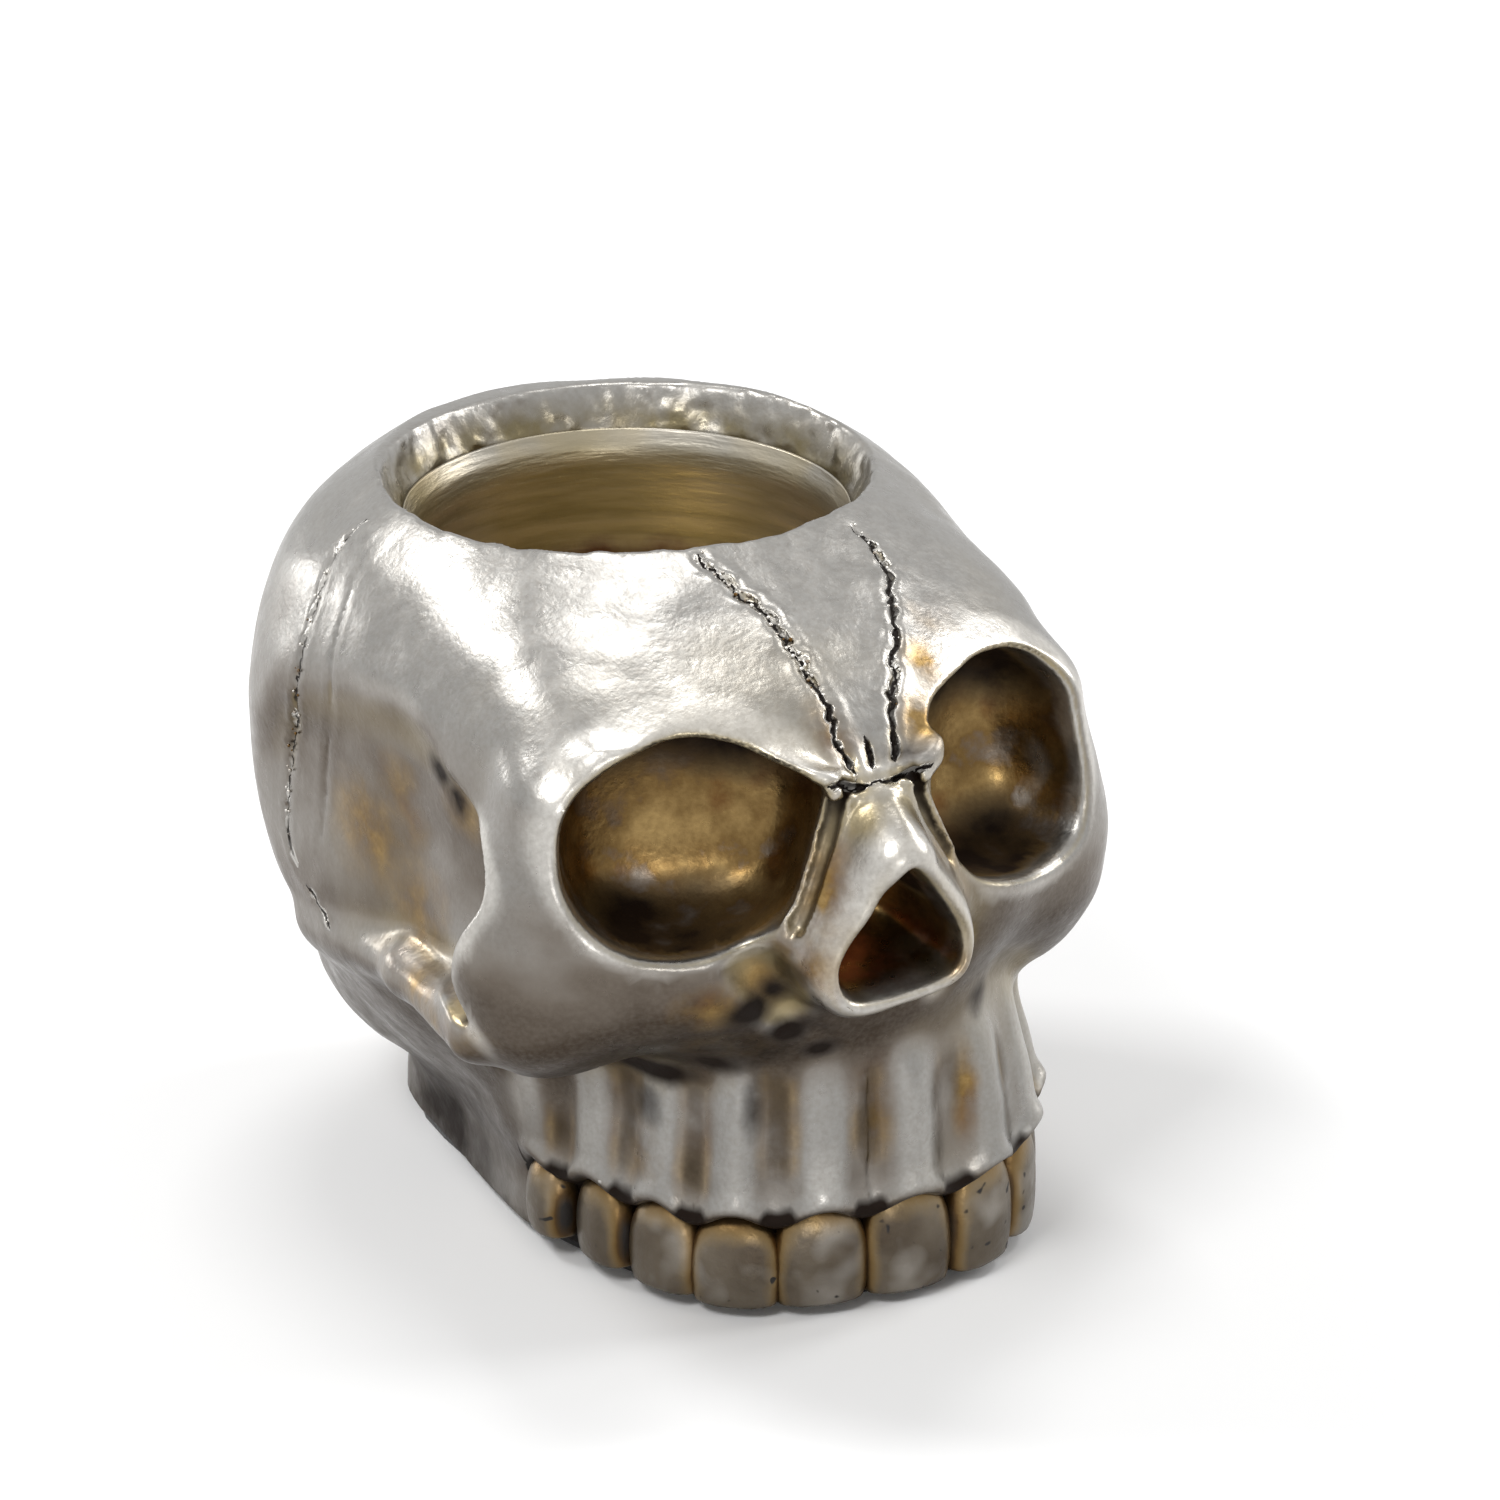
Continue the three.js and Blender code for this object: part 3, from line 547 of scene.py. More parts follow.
# The cuts: route, whether it lies mirrored, how far the hand wandered from it, depth, width, and how
# much the depth swells and shrinks
CUTS = {
    "right_crack": (RIGHT_CRACK, False, 0.42, CRACK_DEPTH, 1.0, 0.45),
    "left_crack": (LEFT_CRACK, False, 0.34, CRACK_DEPTH, 0.8, 0.45),
    "crease": (NASAL_CREASE, False, 0.2, CREASE_DEPTH, 1.0, 0.2),
    "short_crack": (SHORT_CRACK, False, 0.15, CRACK_DEPTH, 1.0, 0.45),
    "right_nasal": (RIGHT_NASAL_GROOVE, False, 0.05, NASAL_GROOVE_DEPTH, 1.0, 0.1),
    "left_nasal": (LEFT_NASAL_GROOVE, False, 0.05, NASAL_GROOVE_DEPTH, 1.0, 0.1),
    "right_seam": (SIDE_SEAM, True, 0.18, SEAM_DEPTH, 1.0, 0.6),
    "left_seam": (SIDE_SEAM, False, 0.18, SEAM_DEPTH, 1.0, 0.6),
    "right_mould": (MOULD_LINE, True, 0.03, MOULD_LINE_DEPTH, 1.0, 0.2),
    "left_mould": (MOULD_LINE, False, 0.03, MOULD_LINE_DEPTH, 1.0, 0.2),
}
ROUTE_SPACING = 0.8
ROUTE_SEED = 11
SWELL_SEED = 21

# How far from a cut the surface and the paint still know of it
CUT_MARGIN = 3
CUT_REACH = 2.0

# The low swelling beside a cut: its height as a share of the depth, its place and its width
CUT_EDGE = (0.3, 1.25, 0.45)

# Hollows dug beside and under the nose and above the brow: rods, each with its blend
DIGS = (
    (((-12.6, 50.2, 41), (-8.4, 48.2, 35.6), 2.4, 1.9), 2.2),
    (((-8.6, 48.6, 35.4), (-2.2, 47, 29.8), 1.3, 0.5), 1.2),
    (((9.6, 49.4, 38.5), (9.2, 48, 35), 1.8, 1.4), 2.2),
    (((-20, 46.5, 25.4), (-9, 49.5, 27.6), 1.3, 1), 2.5),
)


def catmull(points, spacing):
    """Points about a spacing apart on a smooth open curve."""
    points = np.array(points, float)
    padded = np.vstack((2 * points[0] - points[1], points, 2 * points[-1] - points[-2]))
    made = []
    for index in range(1, len(padded) - 2):
        a, b, c, d = padded[index - 1:index + 3]
        count = max(int(np.linalg.norm(c - b) / spacing), 1)
        made += [between(a, b, c, d, t) for t in np.arange(count) / count]
    made.append(points[-1])
    return np.array(made)


def slope(field, x, y, z, reach=0.05):
    """A field's value and its gradient."""
    here = field(x, y, z)
    steps = [(reach, 0, 0), (0, reach, 0), (0, 0, reach)]
    parts = [(field(x + dx, y + dy, z + dz) - here) / reach for dx, dy, dz in steps]
    return here, np.stack(parts, 1)


def draped(points, field=head, rounds=6):
    """Points moved on to a field's surface."""
    points = points.copy()
    for _ in range(rounds):
        here, gradient = slope(field, *points.T)
        points -= gradient * (here / np.maximum((gradient ** 2).sum(1), 0.05))[:, None]
    return points


def route(points, mirrored, wander, seed):
    """A hand-cut route on the head: a smooth line, shaken sideways and laid on the surface."""
    flip = -1 if mirrored else 1
    line = draped(catmull([(flip * x, -ahead, z) for x, ahead, z in points], ROUTE_SPACING))
    shake = np.random.default_rng(seed).uniform(-wander, wander, line.shape)
    shake[0] = shake[-1] = 0
    return draped(line + shake)


class Groove:
    """Distance to a route, whose cut swells and shrinks on its way."""

    def __init__(self, line, depth, width, unevenness, seed):
        self.line = line
        self.depth = depth
        self.width = width
        chance = np.random.default_rng(seed)
        self.swell = 1 + chance.uniform(-unevenness, unevenness, len(line))
        self.swell[0] = self.swell[-1] = 0.3
        _, normals = slope(head, *line.T)
        self.across = np.cross(np.diff(line, axis=0), normals[:-1])
        self.low = line.min(0) - CUT_MARGIN
        self.high = line.max(0) + CUT_MARGIN

    def near(self, x, y, z):
        """Which points lie in the box round the route."""
        near = True
        for value, low, high in zip((x, y, z), self.low, self.high):
            near = near & (value > low) & (value < high)
        return near

    def gap(self, x, y, z):
        """The distance to the route, how much the cut swells there, and on which side a point lies."""
        best = np.full(x.shape, 9.0)
        size = np.zeros(x.shape)
        side = np.ones(x.shape)
        ends = zip(self.line, self.line[1:], self.swell, self.swell[1:], self.across)
        for a, b, first, last, across in ends:
            dx, dy, dz = b - a
            fx, fy, fz = x - a[0], y - a[1], z - a[2]
            share = (fx * dx + fy * dy + fz * dz) / max(dx * dx + dy * dy + dz * dz, 1e-6)
            share = np.clip(share, 0, 1)
            gap = np.sqrt((fx - dx * share) ** 2 + (fy - dy * share) ** 2 + (fz - dz * share) ** 2)
            closer = gap < best
            best = np.where(closer, gap, best)
            size = np.where(closer, first + (last - first) * share, size)
            lean = fx * across[0] + fy * across[1] + fz * across[2]
            side = np.where(closer, np.sign(lean), side)
        return best, size, side


def make_grooves():
    """Each cut with its own wander and swell, the same each run."""
    made = {}
    for number, (name, cut) in enumerate(CUTS.items()):
        points, mirrored, wander, depth, width, unevenness = cut
        line = route(points, mirrored, wander, ROUTE_SEED + number)
        made[name] = Groove(line, depth, width, unevenness, SWELL_SEED + number)
    return made


GROOVES = make_grooves()


def cut_grooves(d, x, y, z):
    """The surface with its cuts, each between two low swellings."""
    height, place, spread = CUT_EDGE
    for groove in GROOVES.values():
        near = groove.near(x, y, z) & (np.abs(d) < CUT_MARGIN)
        if not near.any():
            continue
        gap, size, _ = groove.gap(x[near], y[near], z[near])
        depth = groove.depth * size
        cut = depth - gap / groove.width
        edge = height * depth * np.exp(-((gap - place * groove.width) / spread) ** 2)
        body = d[near] - edge
        d[near] = common(body, cut, CUT_BLEND)
    return d


def skin(x, y, z, body, dug, opening):
    """The outside of the head with its hollows and openings, without cuts and bowl."""
    d = body
    for shape, blend in DIGS:
        d = carved(d, rod((x, -y, z), shape), blend)
    return carved(carved(d, dug, SOCKET_BLEND), opening, NOSTRIL_BLEND)


def bare_skin(x, y, z):
    return skin(x, y, z, head(x, y, z), socket(x, y, z), nostril(x, y, z))


def sculpt(x, y, z):
    """The whole casting: negative inside."""
    body = head(x, y, z)
    dug = socket(x, y, z)
    opening = nostril(x, y, z)
    d = cut_grooves(skin(x, y, z, body, dug, opening), x, y, z)
    for (depth, spacing), shift in ((BROAD_MARKS, 0), (SMALL_MARKS, MARK_SHIFT)):
        d = d + depth * HAND_MARKS(x + shift, y, z, spacing)
    d = np.maximum(d, z - RIM_HEIGHT + RIM_TILT * y)
    radius = np.sqrt(x * x + (y - BOWL_BACKSET) ** 2)
    bearing = np.arctan2(y, x) * STREAKS_TO_RADIAN
    hammered = STREAK_DEPTH * FINE_MARKS(bearing, radius * STREAK_SHARE, z * STREAK_SHARE, 1)
    hammered = hammered + DENT_DEPTH * FINE_MARKS(x, y, z, DENT_SPACING)
    chamfer = (RIM_RADIUS - POCKET_RADIUS) / CHAMFER_HEIGHT
    above = np.maximum(z - RIM_HEIGHT + CHAMFER_HEIGHT, 0)
    cone = radius - POCKET_RADIUS - above * chamfer + hammered * ramp(above, 0, HAMMER_START)
    d = common(d, -np.maximum(cone, POCKET_FLOOR - z), RIM_ROUNDING)
    hollow = np.maximum(body + WALL, WALL - np.minimum(dug, opening))
    hollow = np.maximum(hollow, z - HOLLOW_CEILING)
    rebate = np.maximum(body + REBATE_INSET, z - PLATE_TOP)
    return np.maximum(np.maximum(d, -np.minimum(hollow, rebate)), CAST_FOOT - z)


def sample_grid(field, low, high, cell):
    """The field on a grid, exact near its surface and only its sign elsewhere."""
    blocks = np.ceil((high - low) / (cell * BLOCK)).astype(int)
    counts = blocks * BLOCK
    middles = [low[k] + (np.arange(blocks[k]) * BLOCK + (BLOCK - 1) / 2) * cell for k in range(3)]
    x, y, z = np.meshgrid(*middles, indexing="ij")
    coarse = field(x.ravel(), y.ravel(), z.ravel()).reshape(x.shape)
    near = np.abs(coarse) < BLOCK * cell * 1.25
    spread = np.ones((BLOCK,) * 3)
    values = np.kron(np.sign(coarse), spread).astype(np.float32)
    index = np.argwhere(np.kron(near, spread) > 0)
    for start in range(0, len(index), BATCH):
        part = index[start:start + BATCH]
        place = low + part * cell
        values[tuple(part.T)] = field(*place.T)
    return values, counts


CORNERS = [(i, j, k) for i in (0, 1) for j in (0, 1) for k in (0, 1)]
EDGES = [(a, b) for a in range(8) for b in range(a + 1, 8)
         if sum(abs(p - q) for p, q in zip(CORNERS[a], CORNERS[b])) == 1]


def polygonised(field, low, high, cell):
    """Vertices and quads of a field's surface, one vertex in each cell that it crosses."""
    values, counts = sample_grid(field, low, high, cell)
    inside = values < 0
    ends = [slice(0, -1), slice(1, None)]
    total = sum(inside[ends[i], ends[j], ends[k]].astype(np.int8) for i, j, k in CORNERS)
    cells = np.argwhere((total > 0) & (total < 8))
    corner = np.stack([values[tuple((cells + np.array(c)).T)] for c in CORNERS], 1)
    place = np.zeros((len(cells), 3))
    number = np.zeros(len(cells))
    for a, b in EDGES:
        crosses = (corner[:, a] < 0) != (corner[:, b] < 0)
        share = corner[crosses, a] / (corner[crosses, a] - corner[crosses, b])
        start, end = np.array(CORNERS[a]), np.array(CORNERS[b])
        place[crosses] += start + share[:, None] * (end - start)
        number[crosses] += 1
    points = low + (cells + place / number[:, None]) * cell
    lookup = np.full(total.shape, -1, np.int32)
    lookup[tuple(cells.T)] = np.arange(len(cells))
    quads = []
    for axis in range(3):
        side, up = (axis + 1) % 3, (axis + 2) % 3
        first = [slice(None)] * 3
        second = [slice(None)] * 3
        first[axis], second[axis] = slice(0, -1), slice(1, None)
        edges = np.argwhere(inside[tuple(first)] != inside[tuple(second)])
        edges = edges[(edges[:, side] > 0) & (edges[:, up] > 0)]
        edges = edges[(edges[:, side] < counts[side] - 1) & (edges[:, up] < counts[up] - 1)]
        ring = []
        for back, down in ((1, 1), (0, 1), (0, 0), (1, 0)):
            cell_index = edges.copy()
            cell_index[:, side] -= back
            cell_index[:, up] -= down
            ring.append(lookup[tuple(cell_index.T)])
        ring = np.stack(ring, 1)
        outwards = inside[tuple(edges.T)]
        ring[~outwards] = ring[~outwards][:, ::-1]
        quads.append(ring)
    return points, np.vstack(quads)


def settled(points, field, rounds=2):
    """Points moved on to the surface, but never further than a cell."""
    for _ in range(rounds):
        here, gradient = slope(field, *points.T)
        step = gradient * (here / np.maximum((gradient ** 2).sum(1), 0.2))[:, None]
        length = np.linalg.norm(step, axis=1, keepdims=True)
        points = points - step * np.minimum(1, CELL * 0.6 / np.maximum(length, 1e-9))
    return points


def mesh_from(name, points, faces, smooth=True):
    """A mesh from points in millimetres and faces of one size."""
    mesh = bpy.data.meshes.new(name)
    size = faces.shape[1]
    mesh.vertices.add(len(points))
    mesh.vertices.foreach_set("co", (points * MM).astype(np.float32).ravel())
    mesh.loops.add(faces.size)
    mesh.loops.foreach_set("vertex_index", faces.astype(np.int32).ravel())
    mesh.polygons.add(len(faces))
    mesh.polygons.foreach_set("loop_start", np.arange(0, faces.size, size, dtype=np.int32))
    mesh.update(calc_edges=True)
    mesh.validate()
    mesh.polygons.foreach_set("use_smooth", np.full(len(mesh.polygons), smooth))
    return mesh


def plain_object(name, held):
    """An object in the scene that holds a mesh, a lamp or a lens, unturned and unscaled at the origin."""
    made = bpy.data.objects.new(name, held)
    bpy.context.scene.collection.objects.link(made)
    return made


def baked(source, name):
    """The evaluated object as a new plain mesh object; the source is removed."""
    bpy.context.view_layer.update()
    graph = bpy.context.evaluated_depsgraph_get()
    evaluated = source.evaluated_get(graph)
    mesh = bpy.data.meshes.new_from_object(evaluated, preserve_all_data_layers=True, depsgraph=graph)
    bpy.data.objects.remove(source)
    mesh.name = name
    return plain_object(name, mesh)


def places(mesh):
    """A mesh's points and normals in millimetres."""
    points = np.empty(len(mesh.vertices) * 3, np.float32)
    mesh.vertices.foreach_get("co", points)
    normals = np.empty(len(mesh.vertices) * 3, np.float32)
    mesh.vertex_normals.foreach_get("vector", normals)
    return points.reshape(-1, 3).astype(float) / MM, normals.reshape(-1, 3).astype(float)


def store(mesh, name, values):
    """Keeps values from 0 to 1 on a mesh's points, for its paint to read."""
    attribute = mesh.attributes.get(name) or mesh.attributes.new(name, "FLOAT", "POINT")
    attribute.data.foreach_set("value", np.clip(values, 0, 1).astype(np.float32))


def shelter(points, normals, field, reach):
    """How much of the space outside a point, up to a reach, is filled: 0 on a plain, 1 in a pit."""
    ahead = field(*(points + normals * reach).T)
    return 1 - ahead / reach


def traced(points, names):
    """How far points lie across the nearest of the cuts, to one side or the other, and how far from it."""
    across = np.full(len(points), CUT_REACH)
    plain = np.full(len(points), CUT_REACH)
    for name in names:
        near = np.flatnonzero(GROOVES[name].near(*points.T))
        gap, size, side = GROOVES[name].gap(*points[near].T)
        gap = np.minimum(gap / np.maximum(size, 0.3), CUT_REACH)
        closer = gap < plain[near]
        plain[near[closer]] = gap[closer]
        across[near[closer]] = (gap * side)[closer]
    return 0.5 + across / CUT_REACH / 2, plain / CUT_REACH


def blot(points, centre, reach):
    """1 at a centre, fading to a third at a reach each way."""
    offset = (points - np.array(centre)) / np.array(reach)
    return np.exp(-(offset ** 2).sum(1))


def spotted(values, points, spots):
    """The values, raised round each spot to its strength."""
    for centre, reach, strength in spots:
        values = np.maximum(values, strength * blot(points, centre, reach))
    return values


def edged(points, normals, reach):
    """How much of the space behind a point, up to a reach, is missing: 0 on a plain, 1 on an edge."""
    return 1 + bare_skin(*(points - normals * reach).T) / reach


def linear(hexed):
    """A colour written as sRGB hex, as the linear values that a shader takes."""
    shares = [int(hexed[k:k + 2], 16) / 255 for k in (1, 3, 5)]
    return tuple(s / 12.92 if s <= 0.04045 else ((s + 0.055) / 1.055) ** 2.4 for s in shares) + (1.0,)


# Kinds of node that the paints use most
MATH = "ShaderNodeMath"
RANGE = "ShaderNodeMapRange"

# Paint flakes and felt fibres are finer than a pixel, so both are drawn as coarse as they need to show
PAINT_GRAIN = 0.28
FELT_FIBRE = 0.35

# The metallic paint's metallic value without a wash and under a thick one, and the roughness that adds
WASH_METALLIC = (0.92, 0.1)
WASH_ROUGHNESS = 0.25

# Past a cut's end the distance to it grows faster: from this share of its reach, and by how much
CUT_END = 0.25
CUT_END_FALL = 3.0


def add(tree, kind, inputs=(), **settings):
    """A node with its settings and its inputs, in order or by name: plain values, or what feeds them."""
    made = tree.nodes.new(kind)
    for name, value in settings.items():
        setattr(made, name, value)
    named = inputs if isinstance(inputs, dict) else dict(enumerate(inputs))
    for name, value in named.items():
        if isinstance(value, bpy.types.Node):
            value = value.outputs[0]
        if isinstance(value, bpy.types.NodeSocket):
            tree.links.new(value, made.inputs[name])
        else:
            made.inputs[name].default_value = value
    return made


def new_material(name):
    """An empty material and its node tree."""
    made = bpy.data.materials.new(name)
    made.use_nodes = True
    made.node_tree.nodes.clear()
    return made, made.node_tree


def finish_material(tree, inputs):
    """The shader that takes a paint's inputs."""
    shader = add(tree, "ShaderNodeBsdfPrincipled", inputs)
    add(tree, "ShaderNodeOutputMaterial", {"Surface": shader})


def surface_values(tree, *names):
    """The values stored on the surface under these names."""
    return [add(tree, "ShaderNodeAttribute", attribute_name=name).outputs["Fac"] for name in names]


def noise(tree, size, detail, stretch=(1, 1, 1)):
    """Noise whose blots are about a size in millimetres."""
    coordinates = add(tree, "ShaderNodeTexCoord").outputs["Object"]
    place = add(tree, "ShaderNodeMapping", {"Vector": coordinates, "Scale": stretch})
    made = add(tree, "ShaderNodeTexNoise", {"Vector": place, "Scale": 0.5 / (size * MM), "Detail": detail})
    return made.outputs["Fac"]


def uneven(tree, value, shake, amount):
    """A value that noise makes larger here and smaller there, so that its edges are ragged."""
    swing = add(tree, MATH, (shake, 0.5), operation="SUBTRACT")
    swing = add(tree, MATH, (swing, amount), operation="MULTIPLY")
    return add(tree, MATH, (value, swing), operation="ADD")


def patchy(tree, value, pattern, *limits):
    """A value held to the patches of a pattern: the limits are the pattern's, then the share left of it."""
    patches = add(tree, RANGE, (pattern,) + limits)
    return add(tree, MATH, (value, patches), operation="MULTIPLY")


def coated(tree, colour, coats):
    """A colour with coats brushed over it. Each coat shows where its value lies within its limits, at
    shares from the third limit to the fourth, or at just the value where it has no limits."""
    for value, limits, coat in coats:
        share = add(tree, RANGE, (value,) + limits) if limits else value
        colour = add(tree, "ShaderNodeMix", {0: share, 6: colour, 7: coat}, data_type="RGBA").outputs[2]
    return colour


def bumped(tree, layers):
    """A normal from several heights, each with its depth in millimetres."""
    inputs = {}
    for height, depth in layers:
        inputs.update({"Height": height, "Distance": depth * MM, "Strength": 1.0})
        inputs["Normal"] = add(tree, "ShaderNodeBump", inputs).outputs["Normal"]
    return inputs["Normal"]


def satin(tree, dull, fine, roughest, smoothest):
    """The metallic paint's shine, lost where a wash lies thick."""
    bare = add(tree, RANGE, (fine, 0.3, 0.7, smoothest, roughest))
    washed = add(tree, MATH, (dull, WASH_ROUGHNESS), operation="MULTIPLY")
    return {"Metallic": add(tree, RANGE, (dull, 0, 1) + WASH_METALLIC),
            "Roughness": add(tree, MATH, (bare, washed), operation="ADD")}


def cut_distance(tree, name, shake):
    """How far across a cut a point of the paint lies, from 0 in the cut to 1 at its reach, and unsteady."""
    side, far = surface_values(tree, name, name + "_far")
    across = add(tree, MATH, (side, 0.5), operation="SUBTRACT")
    across = add(tree, MATH, (across,), operation="ABSOLUTE")
    across = add(tree, MATH, (across, 2.0), operation="MULTIPLY")
    away = add(tree, MATH, (far, CUT_END), operation="SUBTRACT")
    away = add(tree, MATH, (away, 0.0), operation="MAXIMUM")
    away = add(tree, MATH, (away, CUT_END_FALL), operation="MULTIPLY")
    return uneven(tree, add(tree, MATH, (across, away), operation="ADD"), shake, 0.12)


def antique_silver_paint():
    """Satin silver metallic paint on cast resin, brushed over with bronze and umber washes that were wiped
    off the high places: a fine metallic grain, warm in the hollows and near black in the cracks. Shade is
    painted in as well, darker on faces that look down, and highlights are painted on the high places."""
    look = bpy.context.scene.skull_colours
    made, tree = new_material("antique_silver_metallic_paint")
    grain = noise(tree, PAINT_GRAIN, 3)
    fine = noise(tree, 0.9, 3)
    cloudy = noise(tree, 7, 4)
    broad = noise(tree, 16, 2)
    blotch = noise(tree, 2.6, 5)
    names = ("under", "rub_and_highlight", "recess", "gold", "bowl", "copper", "wash", "crease")
    under, rub_and_highlight, recess, gold, bowl, copper, washed, creased = surface_values(tree, *names)

    # Painted shade: the silver paint darkens to silver shade on upright faces and to shade brown on faces
    # that look down
    lean = uneven(tree, under, cloudy, 0.35)
    warm = add(tree, MATH, (broad, 0.52), operation="SUBTRACT")
    warm = add(tree, MATH, (recess, 0.9, warm), operation="MULTIPLY_ADD")
    silver = coated(tree, look.silver, (
        (lean, (0.3, 0.55), look.silver_shade),
        (lean, (0.46, 0.7), look.shade_brown),
        # Worn edges and painted highlights: rubbed places painted bright, most where faces look up
        (patchy(tree, rub_and_highlight, lean, 0.9, 0.5, 0.25, 0.85), (), look.bright),
        (grain, (0.35, 0.75, 0, 0.3), look.silver_shade),
        (warm, (0.05, 0.7, 0, 0.75), look.champagne),
    ))
    gilt = coated(tree, look.bronze, (
        (blotch, (0.36, 0.66), look.gold),
        (grain, (0.3, 0.75, 0, 0.4), look.bronze),
    ))

    wash = add(tree, MATH, (washed, 1.2), operation="MULTIPLY")
    wash = add(tree, RANGE, (uneven(tree, wash, blotch, 0.9), 0.25, 0.95))
    wash = patchy(tree, wash, washed, 0.02, 0.25)
    crease = add(tree, RANGE, (uneven(tree, creased, fine, 0.5), 0.4, 0.85))
    cut = cut_distance(tree, "cut", fine)
    seam = cut_distance(tree, "seam", fine)
    chipped = patchy(tree, add(tree, RANGE, (cut, 0.36, 0.2)), noise(tree, 0.8, 2), 0.46, 0.54)
    dashes = patchy(tree, add(tree, RANGE, (seam, 0.3, 0.18)), noise(tree, 1.3, 1), 0.46, 0.52)
    chipped = add(tree, MATH, (chipped, dashes), operation="MAXIMUM")
    faint = patchy(tree, add(tree, RANGE, (seam, 0.14, 0.07)), noise(tree, 1.7, 2), 0.42, 0.5, 0.25, 0.9)
    line = add(tree, MATH, (add(tree, RANGE, (cut, 0.22, 0.12)), faint), operation="MAXIMUM")
    colour = coated(tree, silver, (
        (patchy(tree, gold, blotch, 0.32, 0.6, 0.45, 1.3), (0.1, 0.8), gilt),
        (patchy(tree, gold, noise(tree, 4.2, 6), 0.56, 0.7, 0, 0.7), (), look.rust),
        (patchy(tree, bowl, noise(tree, 2, 3), 0.35, 0.6, 0.35, 0.95), (), look.wall_shade),
        (patchy(tree, copper, fine, 0.3, 0.6, 0.6, 1.2), (0.2, 0.7), look.copper),
        (wash, (), look.umber),
        (wash, (0.75, 1, 0, 0.45), look.soot),
        (crease, (), look.soot),
        (chipped, (0, 1, 0, 0.75), look.bright),
        (line, (), look.soot),
    ))

    dull = add(tree, MATH, (wash, crease), operation="MAXIMUM")
    dull = add(tree, MATH, (dull, line), operation="MAXIMUM")
    normal = bumped(tree, ((cloudy, 0.25), (chipped, 0.16), (line, -0.25), (fine, 0.05), (grain, 0.032)))
    specular = add(tree, RANGE, (dull, 0, 1, 0.5, 0.12))
    finish_material(tree, {"Base Color": colour, "Normal": normal, "Specular IOR Level": specular,
                           **satin(tree, dull, fine, 0.38, 0.26)})
    return made


def gilt_tooth_paint():
    """The same silver paint on the teeth, wiped clean in the middle of each crown, with bronze left round
    the edges and small dark pits where the casting had bubbles, and random patches of painted dark
    reflection and painted highlight."""
    look = bpy.context.scene.skull_colours
    made, tree = new_material("antique_gilt_tooth_paint")
    grain = noise(tree, PAINT_GRAIN, 3)
    fine = noise(tree, 0.9, 3)
    blotch = noise(tree, 2.2, 5)
    border = uneven(tree, surface_values(tree, "border")[0], blotch, 0.5)
    edge = add(tree, RANGE, (border, 0.6, 0.95))
    pits = add(tree, RANGE, (noise(tree, 0.7, 0), 0.76, 0.8))
    dull = add(tree, MATH, (edge, pits), operation="MAXIMUM")
    colour = coated(tree, look.tooth, (
        (grain, (0.3, 0.75, 0, 0.3), look.silver_shade),
        # The next two: painted dark reflections and painted highlights, in random patches on the crowns
        (noise(tree, 5, 3), (0.4, 0.65, 0, 0.75), look.shade_brown),
        (noise(tree, 3.4, 2), (0.54, 0.7, 0, 0.25), look.bright),
        (border, (0.12, 0.5, 0, 0.6), look.gold),
        (border, (0.3, 0.7), look.bronze),
        (dull, (), look.soot),
    ))
    normal = bumped(tree, ((blotch, 0.3), (fine, 0.05), (grain, 0.022)))
    finish_material(tree, {"Base Color": colour, "Normal": normal, **satin(tree, dull, fine, 0.42, 0.3)})
    return made


def chipped_edge_paint():
    """Silver paint rubbed thin on the chipped lips of the cracks: bright, with blots of bronze."""
    look = bpy.context.scene.skull_colours
    made, tree = new_material("rubbed_silver_chips")
    colour = coated(tree, look.bright, ((noise(tree, 1.4, 2), (0.45, 0.62), look.bronze),))
    normal = bumped(tree, ((noise(tree, 0.3, 2), 0.04),))
    finish_material(tree, {"Base Color": colour, "Metallic": 0.9, "Roughness": 0.38, "Normal": normal})
    return made


def brushed_champagne_paint():
    """Champagne metallic paint brushed round the inside of the cup: faint streaks round the wall, brush
    marks in its bump and painted reflections in its colour, light patches of painted sheen, silver paint
    rubbed over its lip and a rust coloured wash in the corner of the floor."""
    look = bpy.context.scene.skull_colours
    made, tree = new_material("brushed_champagne_paint")
    streaks = noise(tree, 6, 4, (1, 1, 9))
    hair = noise(tree, 1.6, 3, (1, 1, 6))
    lip, washed = surface_values(tree, "lip", "wash")
    corner = add(tree, RANGE, (uneven(tree, washed, noise(tree, 2.4, 5), 1.1), 0.3, 0.9))
    corner = patchy(tree, corner, washed, 0.02, 0.2)
    colour = coated(tree, look.olive, (
        # Painted reflections: lighter and darker streaks round the smooth wall
        (streaks, (0.36, 0.64), look.cup_light),
        # Painted sheen: broad light patches on the wall
        (noise(tree, 14, 2), (0.5, 0.75, 0, 0.5), look.bright),
        (patchy(tree, lip, noise(tree, 5, 2), 0.35, 0.65, 0.2, 0.8), (), look.silver),
        (corner, (), look.rust),
    ))
    normal = bumped(tree, ((streaks, 0.12), (hair, 0.05), (noise(tree, PAINT_GRAIN, 2), 0.02)))
    metallic = add(tree, RANGE, (corner, 0, 1, 0.9, 0.3))
    finish_material(tree, {"Base Color": colour, "Metallic": metallic, "Roughness": 0.36, "Normal": normal})
    return made


def bare_resin():
    """Unpainted cast polyresin: a dull brown-grey plate with the scratches of its sanding."""
    look = bpy.context.scene.skull_colours
    made, tree = new_material("bare_cast_resin")
    mottle = noise(tree, 3, 4)
    scratches = noise(tree, 1.2, 3, (1, 9, 1))
    dark = tuple(share * 0.6 for share in look.resin[:3]) + (1.0,)
    colour = coated(tree, dark, ((mottle, (0.35, 0.65), look.resin),))
    normal = bumped(tree, ((scratches, 0.06), (mottle, 0.05)))
    finish_material(tree, {"Base Color": colour, "Roughness": 0.62, "Normal": normal})
    return made


